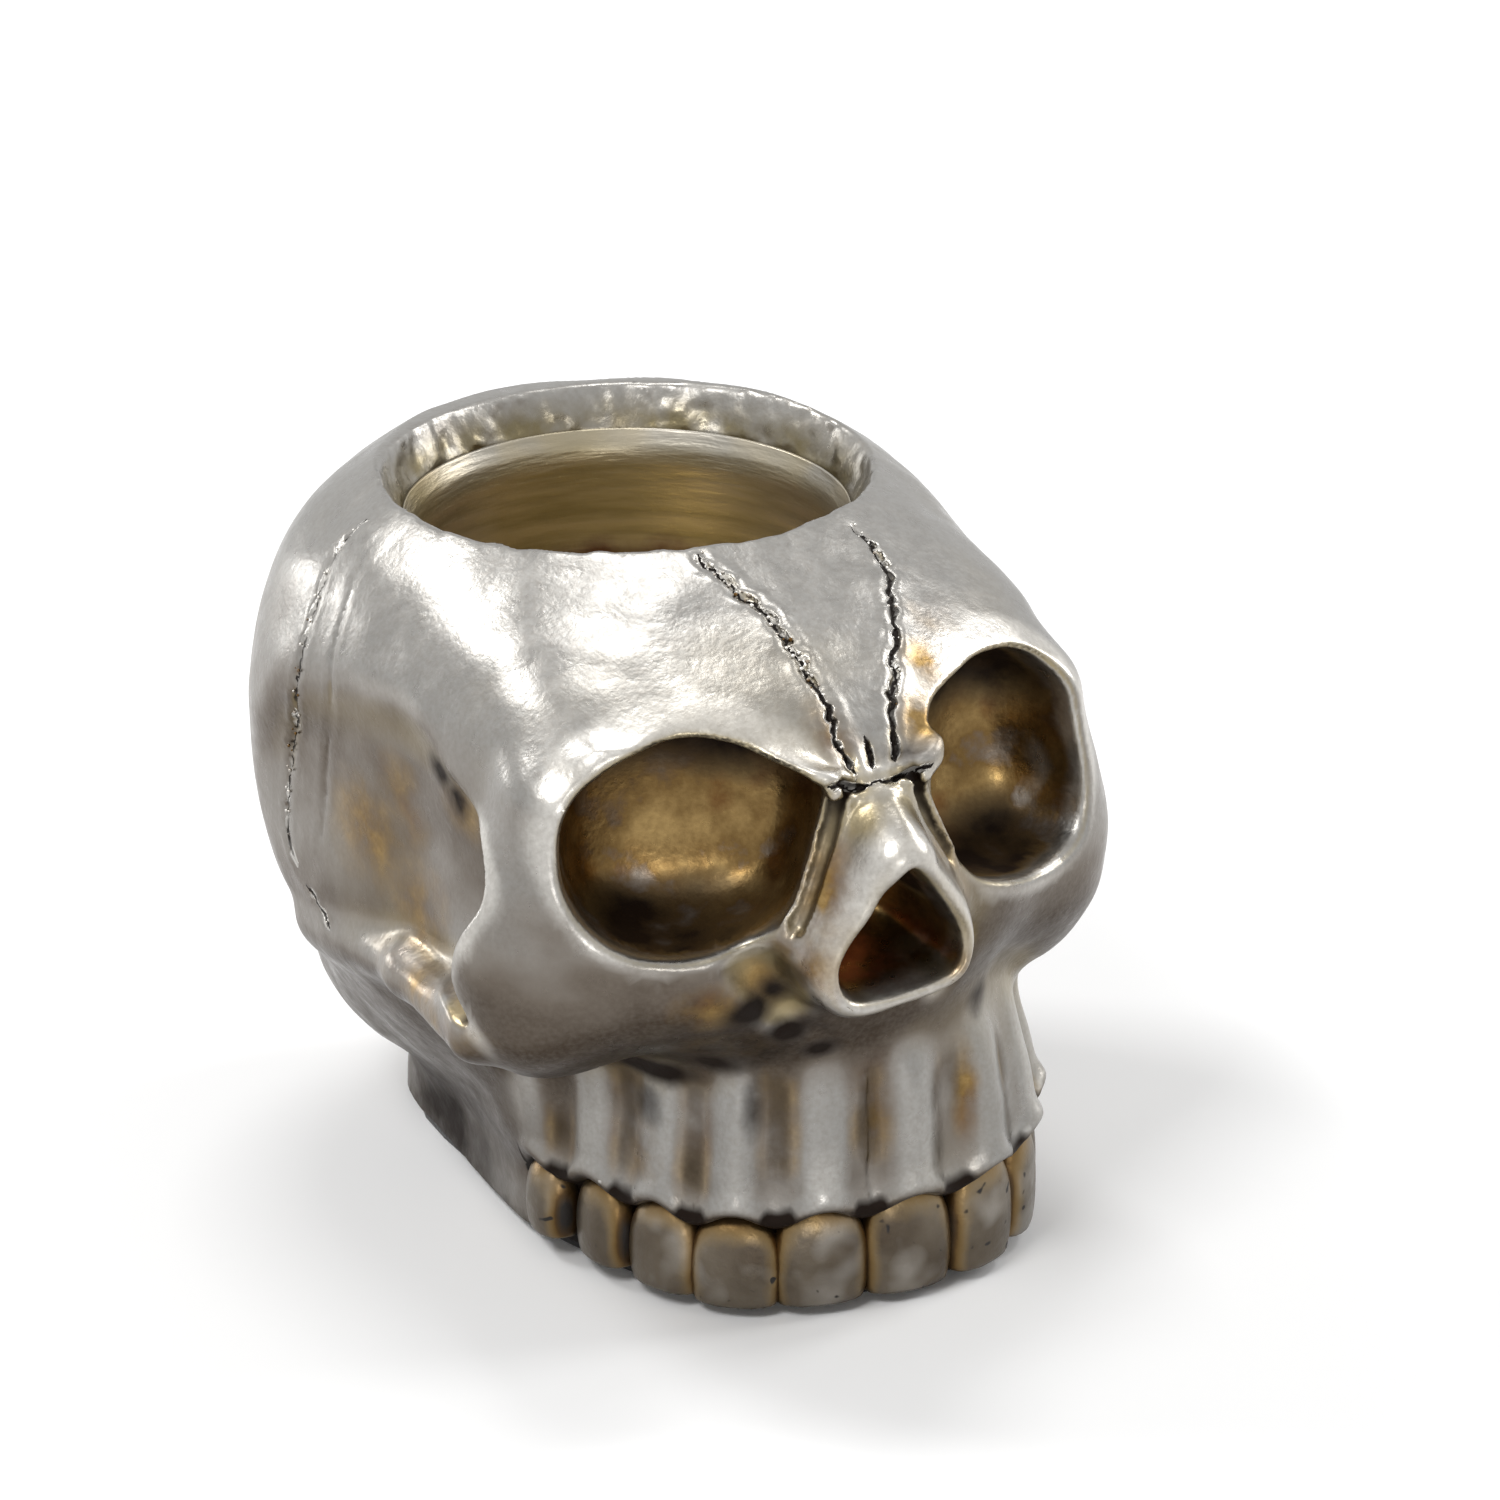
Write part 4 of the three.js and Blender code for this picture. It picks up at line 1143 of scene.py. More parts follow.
def dark_felt():
    """Pressed wool felt: short fibres lying every way, no shine but a soft sheen at a low angle."""
    look = bpy.context.scene.skull_colours
    made, tree = new_material("pressed_dark_felt")
    fibres = noise(tree, FELT_FIBRE, 4, (1, 1, 3))
    pale = tuple(min(share * 2.2, 1) for share in look.felt[:3]) + (1.0,)
    colour = coated(tree, look.felt, ((fibres, (0.35, 0.7), pale),))
    finish_material(tree, {"Base Color": colour, "Roughness": 0.95, "Sheen Weight": 0.4,
                           "Sheen Roughness": 0.5, "Normal": bumped(tree, ((fibres, 0.12),))})
    return made


# Places where the wash was left thick or wiped to gold, and where shade is painted under the cheekbones, on
# the neck and behind the temple's crest: centre, reach each way and strength
GOLD_SPOTS = (
    ((-33, -7, 43.9), (5, 5, 5), 0.8),
    ((-32, -13, 49), (5, 4, 5), 0.5),
    ((-31, -15, 38), (5, 5, 5), 0.6),
    ((-35, -22, 32.7), (5, 12, 2.4), 0.6),
    ((-30.7, -23.9, 52.6), (2.5, 3, 3.5), 0.7),
    ((-6.5, -52, 50), (3, 4, 7), 0.75),
    ((-9, -53, 43), (3, 4, 4), 0.7),
    ((-15.8, -47.7, 37.4), (3.4, 4, 2.4), 0.8),
    ((-10.2, -47.4, 39.1), (3, 4, 3), 0.9),
    ((6, -50, 46), (4, 5, 8), 0.6),
    ((7.2, -47.4, 62.7), (3, 4, 2.6), 0.8),
    ((10.6, -42.4, 65.8), (2.6, 4, 2.4), 0.8),
    ((-2.8, -47, 63), (2.4, 4, 3.4), 0.6),
    ((13.5, -37.2, 68.1), (3, 3, 3), 0.35),
    ((6.4, -55, 40.7), (1.8, 3, 2), 0.7),
    ((2.9, -45.9, 21.2), (1.5, 3, 4.5), 0.85),
    ((13.1, -45.9, 21.1), (1.4, 3, 4.5), 0.8),
    ((-16.2, -32.7, 15.8), (2, 3, 3.5), 0.6),
    ((-14, -45, 31), (5, 4, 2.4), 0.5),
)
WASH_SPOTS = (
    ((-7.2, -46.9, 32.7), (2.6, 4, 1.7), 1),
    ((-11.9, -47.8, 36.3), (3.2, 4, 2.2), 1),
    ((-3.3, -45.9, 29.6), (2.2, 4, 1.2), 1),
    ((-9, -47.4, 38), (2.4, 4, 2.2), 0.8),
    # The next three: painted shade along the underside of the cheekbone
    ((-15.7, -34, 25.2), (7, 6, 1.8), 0.95),
    ((-12.6, -40.5, 28), (4, 4, 1.8), 0.9),
    ((-27, -37, 28.5), (5, 5, 1.8), 0.6),
    ((-8.7, -42.6, 22.5), (1.7, 4, 3.8), 0.6),
    ((-16, -33, 21), (1.6, 4, 3), 0.6),
    ((9.4, -48.5, 37), (2.6, 4, 3.5), 0.8),
    ((15.6, -43.9, 30.1), (2.2, 4, 2.2), 0.6),
    # Painted shade on the neck, under the cheek's arch and behind the jaw
    ((-19.4, 4, 6), (7, 16, 12), 0.8),
    # The next two: painted shade along the temple hollow's front edge, behind its crest
    ((-31.6, -21.1, 55.4), (1.5, 2.6, 1.8), 0.95),
    ((-30.9, -23.4, 53), (1.4, 1.8, 2.4), 0.9),
    ((3, -50, 61), (5, 3, 1.4), 0.6),
)


# How far off the surface the washes feel for a hollow, and behind it for an edge
WIDE_REACH = 4.5
MIDDLE_REACH = 1.8
CLOSE_REACH = 0.6
BROAD_EDGE = 3
SHARP_EDGE = 1.2

# Where the sockets, the nose opening and the tooth row lie
SOCKET_START = 28
SOCKET_FOOT = 38
NOSTRIL_START = 40
NOSTRIL_SIDE = 9
TEETH_AHEAD = 12
TEETH_END = 4.9
COPPER_SPOT = ((-2.5, -46, 41.5), (5, 12, 4))
BOWL_PAINT = (60, 66)
BOWL_SHADE = (0.9, 4.2)


def hollow_paint(x, y, z):
    """How far points lie inside the eye sockets, and inside the nose."""
    ahead = -y
    buried = -head(x, y, z)
    inward = (np.abs(x) - SOCKET_SIDE) * math.sin(SOCKET_YAW)
    inward = inward + (ahead - SOCKET_AHEAD) * math.cos(SOCKET_YAW)
    deep = np.maximum(ramp(buried, 1.3, 3.2), ramp(-inward, 4, 8))
    in_socket = ramp(-socket(x, y, z) + 1.2, 0, 0.8) * deep
    in_nose = ramp(-nostril(x, y, z) + 1.0, 0, 0.8) * ramp(buried, 1.6, 3)
    return (in_socket * (z > SOCKET_FOOT) * (ahead > SOCKET_START),
            in_nose * (np.abs(x) < NOSTRIL_SIDE) * (ahead > NOSTRIL_START))


def paint_casting(mesh):
    """Stores on the surface where the washes lie: hollows, creases, gilded places and stains; and where
    shade and highlights are painted: faces that look down, the high places, the tops and bottoms of the eye
    sockets, under the cheekbones, on the neck and behind the temple's crest.
    """
    points, normals = places(mesh)
    wide, middle, close = (shelter(points, normals, sculpt, reach)
                           for reach in (WIDE_REACH, MIDDLE_REACH, CLOSE_REACH))
    x, y, z = points.T
    ahead = -y
    in_socket, in_nose = hollow_paint(x, y, z)
    radius = np.sqrt(x * x + (y - BOWL_BACKSET) ** 2)
    in_bowl = ramp(z, *BOWL_PAINT) * (radius < RIM_RADIUS + 0.4)
    outside = 1 - in_bowl

    across, forward = jaw_place(x, ahead, z)
    swell, number = tooth_swell(across * splay(across, forward), forward)
    line = gum_line(across, swell, number)
    rows = (ahead > TEETH_AHEAD) * (number < TEETH_END)
    gums = (1 - ramp(z, line - 0.4, line + GUM_EDGE)) * rows
    rooted = root_rise(z) * (1 - ramp(number, *LAST_TOOTH)) * (ahead > TEETH_AHEAD) * (-head(x, y, z) < 1.2)
    patchy_roots = ramp(HAND_MARKS(x, y, z * 0.5, 5.5), -0.35, 0.4)
    between = 1 - ramp(swell, 0.1, 0.5)
    edge = (1 - ramp(z, line + 0.5 + 0.6 * between, line + 1.8 + 1.6 * between)) * rows

    gold = spotted(np.maximum(in_socket, in_nose), points, GOLD_SPOTS)
    gold = np.maximum(gold, 0.36 * rooted * patchy_roots * ramp(0.8 - swell, 0, 0.6))
    # The wash in the hollows and at the wash spots, some of which are painted shade
    wash = spotted(ramp(middle, 0.35, 0.9) * 0.7 * outside, points, WASH_SPOTS)
    level = (z - SOCKET_LEVEL) / 10 + 0.12 * HAND_MARKS(x, y, z, 5)
    for more in (
        0.5 * rooted * (0.3 + 0.7 * patchy_roots) * ramp(0.4 - swell, 0, 0.4),
        0.9 * edge * (0.45 + 0.55 * between),
        # Painted shade at the top and the bottom of each eye socket, under its rims
        in_socket * (0.85 * ramp(level, -0.1, 0.9) + 0.85 * ramp(-level, 0.35, 1.15)),
        in_nose * np.maximum(ramp(z, 45, 48.5), 0.5 * (1 - ramp(z, 38, 40))),
    ):
        wash = np.maximum(wash, more)

    # Worn edges and painted highlights: the edges and the ridges of the roots are painted bright
    rub_and_highlight = np.maximum(ramp(edged(points, normals, BROAD_EDGE), 0.4, 0.9),
                     ramp(edged(points, normals, SHARP_EDGE), 0.3, 0.7))
    rub_and_highlight = np.maximum(rub_and_highlight, 0.4 * rooted * (1 - patchy_roots) * ramp(swell, 0.5, 0.95))
    cut, cut_far = traced(points, ("right_crack", "left_crack", "short_crack", "crease"))
    seam, seam_far = traced(points, ("right_seam", "left_seam"))
    crease = ramp(close, 0.45, 0.95) * outside * np.minimum(cut_far, seam_far)
    stored = {
        # Painted shade: 0 on faces that look up, rising on faces that look down, weaker on the ridges of the
        # roots
        "under": (0.5 - 0.5 * normals[:, 2]) * (1 - 0.45 * rooted * ramp(swell, 0.3, 0.9)),
        "bowl": in_bowl * ramp(RIM_HEIGHT - z, *BOWL_SHADE),
        "copper": in_nose * blot(points, *COPPER_SPOT),
        "rub_and_highlight": rub_and_highlight * outside,
        "cut": cut,
        "cut_far": cut_far,
        "seam": seam,
        "seam_far": seam_far,
        "recess": ramp(wide, 0.05, 0.7) * outside,
        "crease": np.maximum(crease, gums),
        "gold": gold,
        "wash": wash,
    }
    for name, values in stored.items():
        store(mesh, name, values)


def shown(mesh, material):
    """Gives a mesh one material in place of any that it had."""
    mesh.materials.clear()
    mesh.materials.append(material)


class SKULL_OT_casting(bpy.types.Operator):
    """Sculpts the casting as one closed surface and stores where its washes lie"""
    bl_idname = "skull.casting"
    bl_label = "Skull casting"

    def execute(self, context):
        points, quads = polygonised(sculpt, SCULPT_LOW, SCULPT_HIGH, CELL)
        points = settled(points, sculpt)
        rough = plain_object("skull_rough", mesh_from("skull_rough", points, quads))
        thin = rough.modifiers.new("fewer_faces", "DECIMATE")
        thin.ratio = min(1, CASTING_FACES / (2 * len(quads)))
        casting = baked(rough, "skull_casting_sculpted")
        paint_casting(casting.data)
        shown(casting.data, antique_silver_paint())
        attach(casting, "root")
        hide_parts("skull_casting")
        return {"FINISHED"}


def piece_tree(name, sizes):
    """A Geometry Nodes tree that takes points and sizes, and the sockets that give them inside it."""
    tree = bpy.data.node_groups.new(name, "GeometryNodeTree")
    for in_out in ("INPUT", "OUTPUT"):
        tree.interface.new_socket(name="Geometry", in_out=in_out, socket_type="NodeSocketGeometry")
    for label, default in sizes.items():
        size = tree.interface.new_socket(name=label, in_out="INPUT", socket_type="NodeSocketFloat")
        size.default_value = default
    return tree, add(tree, "NodeGroupInput").outputs


def finish_pieces(tree, given, piece, turn, scale, material):
    """Sets the piece on each given point and makes one smooth painted mesh of them all."""
    made = add(tree, "GeometryNodeInstanceOnPoints", {
        "Points": given["Geometry"], "Instance": piece, "Rotation": turn, "Scale": scale})
    for kind in ("GeometryNodeRealizeInstances", "GeometryNodeSetShadeSmooth"):
        made = add(tree, kind, {"Geometry": made})
    made = add(tree, "GeometryNodeSetMaterial", {"Geometry": made, "Material": material})
    add(tree, "NodeGroupOutput", {"Geometry": made})


def grown(source, tree, values, name):
    """The source with a node tree on it, its named inputs set, turned into a plain mesh."""
    modifier = source.modifiers.new("grown", "NODES")
    modifier.node_group = tree
    for item in tree.interface.items_tree:
        if item.name in values and item.in_out == "INPUT":
            modifier[item.identifier] = values[item.name]
    return baked(source, name)


def crown_tree(material):
    """One rounded crown on each point, turned and sized by what the point carries."""
    tree, given = piece_tree("tooth_crowns", {"Crown depth": 0.0025, "Squareness": 3.0})
    position = add(tree, "GeometryNodeInputPosition")
    place = add(tree, "ShaderNodeSeparateXYZ", (position,)).outputs
    cube = add(tree, "GeometryNodeMeshCube", {
        "Size": (2, 2, 2), "Vertices X": 17, "Vertices Y": 11, "Vertices Z": 17})

    raised = []
    for part in place:
        size = add(tree, MATH, (part,), operation="ABSOLUTE")
        raised.append(add(tree, MATH, (size, given["Squareness"]), operation="POWER"))
    total = add(tree, MATH, (raised[0], raised[1]), operation="ADD")
    total = add(tree, MATH, (total, raised[2]), operation="ADD")
    root = add(tree, MATH, (-1.0, given["Squareness"]), operation="DIVIDE")
    shrink = add(tree, MATH, (total, root), operation="POWER")
    rounded = add(tree, "ShaderNodeVectorMath", {0: position, "Scale": shrink}, operation="SCALE")
    crown = add(tree, "GeometryNodeSetPosition", {"Geometry": cube, "Position": rounded})
    foot = add(tree, MATH, (place[2], -CROWN_FOOT), operation="MAXIMUM")
    footed = add(tree, "ShaderNodeCombineXYZ", (place[0], place[1], foot))
    crown = add(tree, "GeometryNodeSetPosition", {"Geometry": crown, "Position": footed})

    side = add(tree, MATH, (place[0],), operation="ABSOLUTE")
    side = add(tree, MATH, (side, CROWN_SIDE_EDGE), operation="POWER")
    upper = add(tree, MATH, (place[2], 0.0), operation="MAXIMUM")
    upper = add(tree, MATH, (upper, CROWN_UPPER_EDGE), operation="POWER")
    border = add(tree, MATH, (side, upper), operation="ADD")
    crown = add(tree, "GeometryNodeStoreNamedAttribute",
                {"Geometry": crown, "Name": "border", "Value": border}, data_type="FLOAT", domain="POINT")

    size = add(tree, "GeometryNodeInputNamedAttribute", {"Name": "crown"}, data_type="FLOAT_VECTOR")
    depth = add(tree, "ShaderNodeCombineXYZ", (1.0, given["Crown depth"], 1.0))
    scale = add(tree, "ShaderNodeVectorMath", (size, depth), operation="MULTIPLY")
    heading = add(tree, "GeometryNodeInputNamedAttribute", {"Name": "heading"}, data_type="FLOAT")
    turn = add(tree, "ShaderNodeCombineXYZ", {2: heading})
    finish_pieces(tree, given, crown, turn, scale, material)
    return tree


def tooth_places():
    """Middle, heading and half sizes of each tooth, in millimetres."""
    made = []
    for hand in (-1, 1):
        for (width, height, lift), way in zip(RIGHT_TEETH if hand < 0 else LEFT_TEETH, TOOTH_WAY):
            across = np.interp(way, ARCH_WAY, ARCH_ACROSS)
            forward = np.interp(way, ARCH_WAY, ARCH_FORWARD)
            run = np.interp(way + ARCH_STEP, ARCH_WAY, ARCH_ACROSS) - across
            fall = np.interp(way + ARCH_STEP, ARCH_WAY, ARCH_FORWARD) - forward
            length = math.hypot(run, fall)
            outward = (-fall / length, run / length)
            across = hand * (across - outward[0] * TOOTH_INSET)
            forward = forward - outward[1] * TOOTH_INSET
            across = across / splay(across, forward)
            x = JAW_SHIFT + across * math.cos(JAW_TURN) - forward * math.sin(JAW_TURN)
            ahead = JAW_PIVOT + across * math.sin(JAW_TURN) + forward * math.cos(JAW_TURN)
            heading = hand * math.atan2(outward[0], outward[1]) - JAW_TURN
            half = (height + CROWN_SINK - lift) / (1 + CROWN_FOOT)
            level = CAST_FOOT + lift + CROWN_FOOT * half
            made.append(((x, -ahead, level), heading, (width / 2 + CROWN_OVERLAP, half)))
    return made


class SKULL_OT_teeth(bpy.types.Operator):
    """Sets a rounded crown on each point of the jaw's arch"""
    bl_idname = "skull.teeth"
    bl_label = "Teeth"

    def execute(self, context):
        sizes = context.scene.skull_sizes
        teeth = tooth_places()
        mesh = bpy.data.meshes.new("tooth_points")
        mesh.from_pydata([[value * MM for value in place] for place, _, _ in teeth], [], [])
        heading = mesh.attributes.new("heading", "FLOAT", "POINT")
        heading.data.foreach_set("value", [turn for _, turn, _ in teeth])
        crown = mesh.attributes.new("crown", "FLOAT_VECTOR", "POINT")
        lengths = [(half_width * MM, 1, half_height * MM) for _, _, (half_width, half_height) in teeth]
        crown.data.foreach_set("vector", [value for size in lengths for value in size])
        values = {"Crown depth": sizes.tooth_depth / 2, "Squareness": sizes.tooth_squareness}
        tree = crown_tree(gilt_tooth_paint())
        row = grown(plain_object("tooth_points", mesh), tree, values, "tooth_crowns")
        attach(row, "root")
        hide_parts("skull_casting")
        return {"FINISHED"}


def chip_tree(material):
    """Small broken lumps on the points of the lines, each of its own size and turn."""
    tree, given = piece_tree("chipped_lips", {"Chip size": 0.0005, "Unevenness": 0.45})
    lump_mesh = add(tree, "GeometryNodeMeshIcoSphere", {"Radius": 1.0, "Subdivisions": 2})
    dent = add(tree, "ShaderNodeTexNoise", {"Scale": 1.3, "Detail": 1.0}).outputs["Color"]
    offset = add(tree, "ShaderNodeVectorMath", (dent, (0.5, 0.5, 0.5)), operation="SUBTRACT")
    offset = add(tree, "ShaderNodeVectorMath", {0: offset, "Scale": CHIP_DENT}, operation="SCALE")
    lump_mesh = add(tree, "GeometryNodeSetPosition", {"Geometry": lump_mesh, "Offset": offset})
    turn = add(tree, "FunctionNodeRandomValue",
               {"Min": (0, 0, 0), "Max": (CHIP_TURN,) * 3, "Seed": 4}, data_type="FLOAT_VECTOR")
    least = add(tree, MATH, (1.0, given["Unevenness"]), operation="SUBTRACT")
    most = add(tree, MATH, (1.0, given["Unevenness"]), operation="ADD")
    vary = add(tree, "FunctionNodeRandomValue", {2: least, 3: most, "Seed": 9}, data_type="FLOAT")
    swell = add(tree, "GeometryNodeInputNamedAttribute", {"Name": "swell"}, data_type="FLOAT")
    size = add(tree, MATH, (vary.outputs[1], given["Chip size"]), operation="MULTIPLY")
    size = add(tree, MATH, (size, swell), operation="MULTIPLY")
    finish_pieces(tree, given, lump_mesh, turn, size, material)
    return tree


def lip_points(line, offset, spacing, seed):
    """Points on both lips of a cut, laid on the surface."""
    chance = np.random.default_rng(seed)
    way = np.concatenate(([0], np.cumsum(np.linalg.norm(np.diff(line, axis=0), axis=1))))
    at = np.arange(0, way[-1], spacing)
    middle, ahead = (np.stack([np.interp(at + step, way, line[:, k]) for k in range(3)], 1)
                     for step in (0, HEADING_STEP))
    heading = ahead - middle
    heading /= np.maximum(np.linalg.norm(heading, axis=1, keepdims=True), 1e-6)
    _, normal = slope(head, *middle.T)
    normal /= np.linalg.norm(normal, axis=1, keepdims=True)
    across = np.cross(heading, normal)
    made = []
    for hand in (-1, 1):
        points = middle + across * hand * offset + chance.uniform(-CHIP_SCATTER, CHIP_SCATTER, middle.shape)
        made.append(draped(points, rounds=4))
    return np.vstack(made)


# Chips on the lips of each cut: how far off its middle, how far apart and how large
CHIPPED = (
    ("right_crack", 0.4, 1.1, 1.0),
    ("left_crack", 0.36, 1.5, 0.8),
    ("short_crack", 0.35, 1.1, 0.8),
    ("right_seam", 0.28, 2.6, 0.8),
    ("left_seam", 0.28, 2.6, 0.8),
)
CHIP_SCATTER = 0.12
CHIP_SEED = 40
RIM_CLEARANCE = 0.8


class SKULL_OT_chips(bpy.types.Operator):
    """Lines the cracks and the side seams with small broken lumps"""
    bl_idname = "skull.chips"
    bl_label = "Chipped lips of the cracks"

    def execute(self, context):
        points, swells = [], []
        for number, (name, offset, spacing, swell) in enumerate(CHIPPED):
            line = lip_points(GROOVES[name].line, offset, spacing, CHIP_SEED + number)
            radius = np.sqrt(line[:, 0] ** 2 + (line[:, 1] - BOWL_BACKSET) ** 2)
            line = line[radius > RIM_RADIUS + RIM_CLEARANCE]
            points.append(line)
            swells.append(np.full(len(line), swell))
        mesh = bpy.data.meshes.new("chip_points")
        mesh.from_pydata(np.vstack(points) * MM, [], [])
        swell = mesh.attributes.new("swell", "FLOAT", "POINT")
        swell.data.foreach_set("value", np.concatenate(swells).astype(np.float32))
        sizes = context.scene.skull_sizes
        values = {"Chip size": sizes.chip_size / 2, "Unevenness": sizes.chip_unevenness}
        tree = chip_tree(chipped_edge_paint())
        chips = grown(plain_object("chip_points", mesh), tree, values, "crack_chips")
        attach(chips, "root")
        return {"FINISHED"}


CUP_SEGMENTS = 192
CUP_CORNER = 1.2
CUP_GAP = 0.05
CUP_FOOT_EDGE = 0.3

# The cup's paint: the silver sets in this far below the lip and is full this far below it, the wash in
# the corner ends between these heights over the pocket's floor and sets in between these radii
CUP_LIP_PAINT = (4.5, 0.5)
CUP_CORNER_PAINT = (0.5, 5.5)
CUP_CORNER_RADII = (14, 21)


def cup_profile(sizes):
    """The cup's section: radius and height, from the middle of the floor up, over the lip and back."""
    inner = sizes.cup_diameter / 2 / MM
    floor = POCKET_FLOOR + sizes.cup_wall / MM
    top = RIM_HEIGHT - CHAMFER_HEIGHT
    outer = POCKET_RADIUS - CUP_GAP
    foot = POCKET_FLOOR + CUP_GAP
    profile = [(0, floor)]
    profile += [(inner * share, floor) for share in (0.3, 0.6, 0.85)]
    for angle in np.linspace(-math.pi / 2, 0, 7):
        profile.append((inner - CUP_CORNER + CUP_CORNER * math.cos(angle),
                        floor + CUP_CORNER + CUP_CORNER * math.sin(angle)))
    rise = top - floor - CUP_CORNER
    profile += [(inner, floor + CUP_CORNER + rise * share) for share in (0.25, 0.5, 0.7)]
    steepness = CHAMFER_HEIGHT / (RIM_RADIUS - POCKET_RADIUS)
    lip = outer - inner
    for share in (0, 0.3, 0.6, 0.9, 1):
        profile.append((inner + lip * share, top - lip * (1 - share) * steepness))
    profile += [(outer, foot + CUP_FOOT_EDGE), (outer - CUP_FOOT_EDGE, foot), (0, foot)]
    return profile


class SKULL_OT_cup(bpy.types.Operator):
    """Turns the thin cup that lines the bowl"""
    bl_idname = "skull.cup"
    bl_label = "Candle cup"

    def execute(self, context):
        profile = cup_profile(context.scene.skull_sizes)
        ring = profile[1:-1]
        turns = np.arange(CUP_SEGMENTS) * 2 * math.pi / CUP_SEGMENTS
        points = [(0, BOWL_BACKSET, profile[0][1]), (0, BOWL_BACKSET, profile[-1][1])]
        for radius, level in ring:
            across, back = radius * np.cos(turns), BOWL_BACKSET + radius * np.sin(turns)
            points += [(x, y, level) for x, y in zip(across, back)]
        starts = [2 + row * CUP_SEGMENTS for row in range(len(ring))]
        faces = []
        for step in range(CUP_SEGMENTS):
            after = (step + 1) % CUP_SEGMENTS
            faces.append((0, starts[0] + step, starts[0] + after))
            faces.append((1, starts[-1] + after, starts[-1] + step))
            for start, end in zip(starts, starts[1:]):
                faces.append((start + step, end + step, end + after, start + after))
        mesh = bpy.data.meshes.new("lining_cup")
        mesh.from_pydata([[value * MM for value in point] for point in points], [], faces)
        mesh.polygons.foreach_set("use_smooth", [True] * len(mesh.polygons))
        place, _ = places(mesh)
        radius = np.hypot(place[:, 0], place[:, 1] - BOWL_BACKSET)
        corner = 1 - ramp(place[:, 2], *(POCKET_FLOOR + rise for rise in CUP_CORNER_PAINT))
        store(mesh, "wash", corner * ramp(radius, *CUP_CORNER_RADII))
        lip = RIM_HEIGHT - CHAMFER_HEIGHT
        store(mesh, "lip", ramp(place[:, 2], *(lip - fall for fall in CUP_LIP_PAINT)))
        cup = plain_object("lining_cup", mesh)
        shown(mesh, brushed_champagne_paint())
        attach(cup, "root")
        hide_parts("candle_cup")
        return {"FINISHED"}


class SKULL_OT_foot(bpy.types.Operator):
    """Gives the plate its resin and the pad its felt"""
    bl_idname = "skull.foot"
    bl_label = "Plate and pad"

    def execute(self, context):
        shown(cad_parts["base_plate"].data, bare_resin())
        shown(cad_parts["base_pad"].data, dark_felt())
        return {"FINISHED"}


# The view: where the camera looks from, what it looks at and how far off it stands
VIEW_AZIMUTH = math.radians(-28.5)
VIEW_ELEVATION = math.radians(23.5)
VIEW_AIM = Vector((11.58, -4.24, 42.14)) * MM
VIEW_DISTANCE = 0.65
LENS = 152.1
SENSOR = 36
FLOOR_RADIUS = 1.5
FLOOR_SIDES = 96
FLOOR_DROP = 0.0001
SKY_LIGHT = 0.22

# Soft lamps: where each stands, how wide and high it is, and its power
LAMPS = (
    ("key_softbox", (-0.6, -0.3, 0.85), (0.35, 0.35), 4.3),
    ("back_softbox", (-0.47, 0.58, 0.8), (0.25, 0.25), 4),
    ("top_softbox", (0.12, 0.3, 1.05), (0.35, 0.2), 2.6),
    ("right_softbox", (0.64, 0.04, 0.68), (0.18, 0.18), 1.5),
    ("low_softbox", (-0.46, 0.9, 0.12), (0.3, 0.12), 1),
    ("side_softbox", (0.8, -0.2, 0.45), (0.2, 0.4), 2.5),
    ("front_softbox", (-0.3, -0.95, 0.25), (0.3, 0.2), 1.2),
)


def shown_white(tree):
    """1 where a ray from the camera or a reflection looks, 0 where the surroundings only give light."""
    rays = add(tree, "ShaderNodeLightPath").outputs
    seen = add(tree, MATH, (rays["Is Camera Ray"], rays["Is Glossy Ray"]), operation="ADD")
    return add(tree, MATH, (seen, rays["Is Transmission Ray"]), operation="ADD", use_clamp=True)


def matt_white_paper():
    """Matt white paper under the skull, which gives less light back than it shows."""
    made, tree = new_material("matt_white_paper")
    floor_light = bpy.context.scene.skull_colours.floor
    colour = coated(tree, floor_light, ((shown_white(tree), (), linear("#ffffff")),))
    finish_material(tree, {"Base Color": colour, "Roughness": 0.9, "Specular IOR Level": 0.1})
    return made


def studio_world():
    """Surroundings that look white and light the skull only a little."""
    made = bpy.data.worlds.new("studio")
    made.use_nodes = True
    tree = made.node_tree
    tree.nodes.clear()
    strength = add(tree, RANGE, (shown_white(tree), 0, 1, SKY_LIGHT, 1.0))
    sky = add(tree, "ShaderNodeBackground", {"Color": (1, 1, 1, 1), "Strength": strength})
    add(tree, "ShaderNodeOutputWorld", {"Surface": sky})
    return made


def paper_floor():
    """A round sheet just below the pad."""
    turns = np.arange(FLOOR_SIDES) * 2 * math.pi / FLOOR_SIDES
    across, back = FLOOR_RADIUS * np.cos(turns), FLOOR_RADIUS * np.sin(turns)
    mesh = bpy.data.meshes.new("studio_floor")
    mesh.from_pydata([(x, y, -FLOOR_DROP) for x, y in zip(across, back)], [], [tuple(range(FLOOR_SIDES))])
    shown(mesh, matt_white_paper())
    return plain_object("studio_floor", mesh)


def softbox(name, place, size, power):
    """A rectangular lamp that points at what the camera looks at."""
    lamp = bpy.data.lights.new(name, "AREA")
    lamp.shape = "RECTANGLE"
    lamp.size, lamp.size_y = size
    lamp.energy = power
    made = plain_object(name, lamp)
    made.location = place
    made.rotation_euler = (VIEW_AIM - Vector(place)).to_track_quat("-Z", "Y").to_euler()


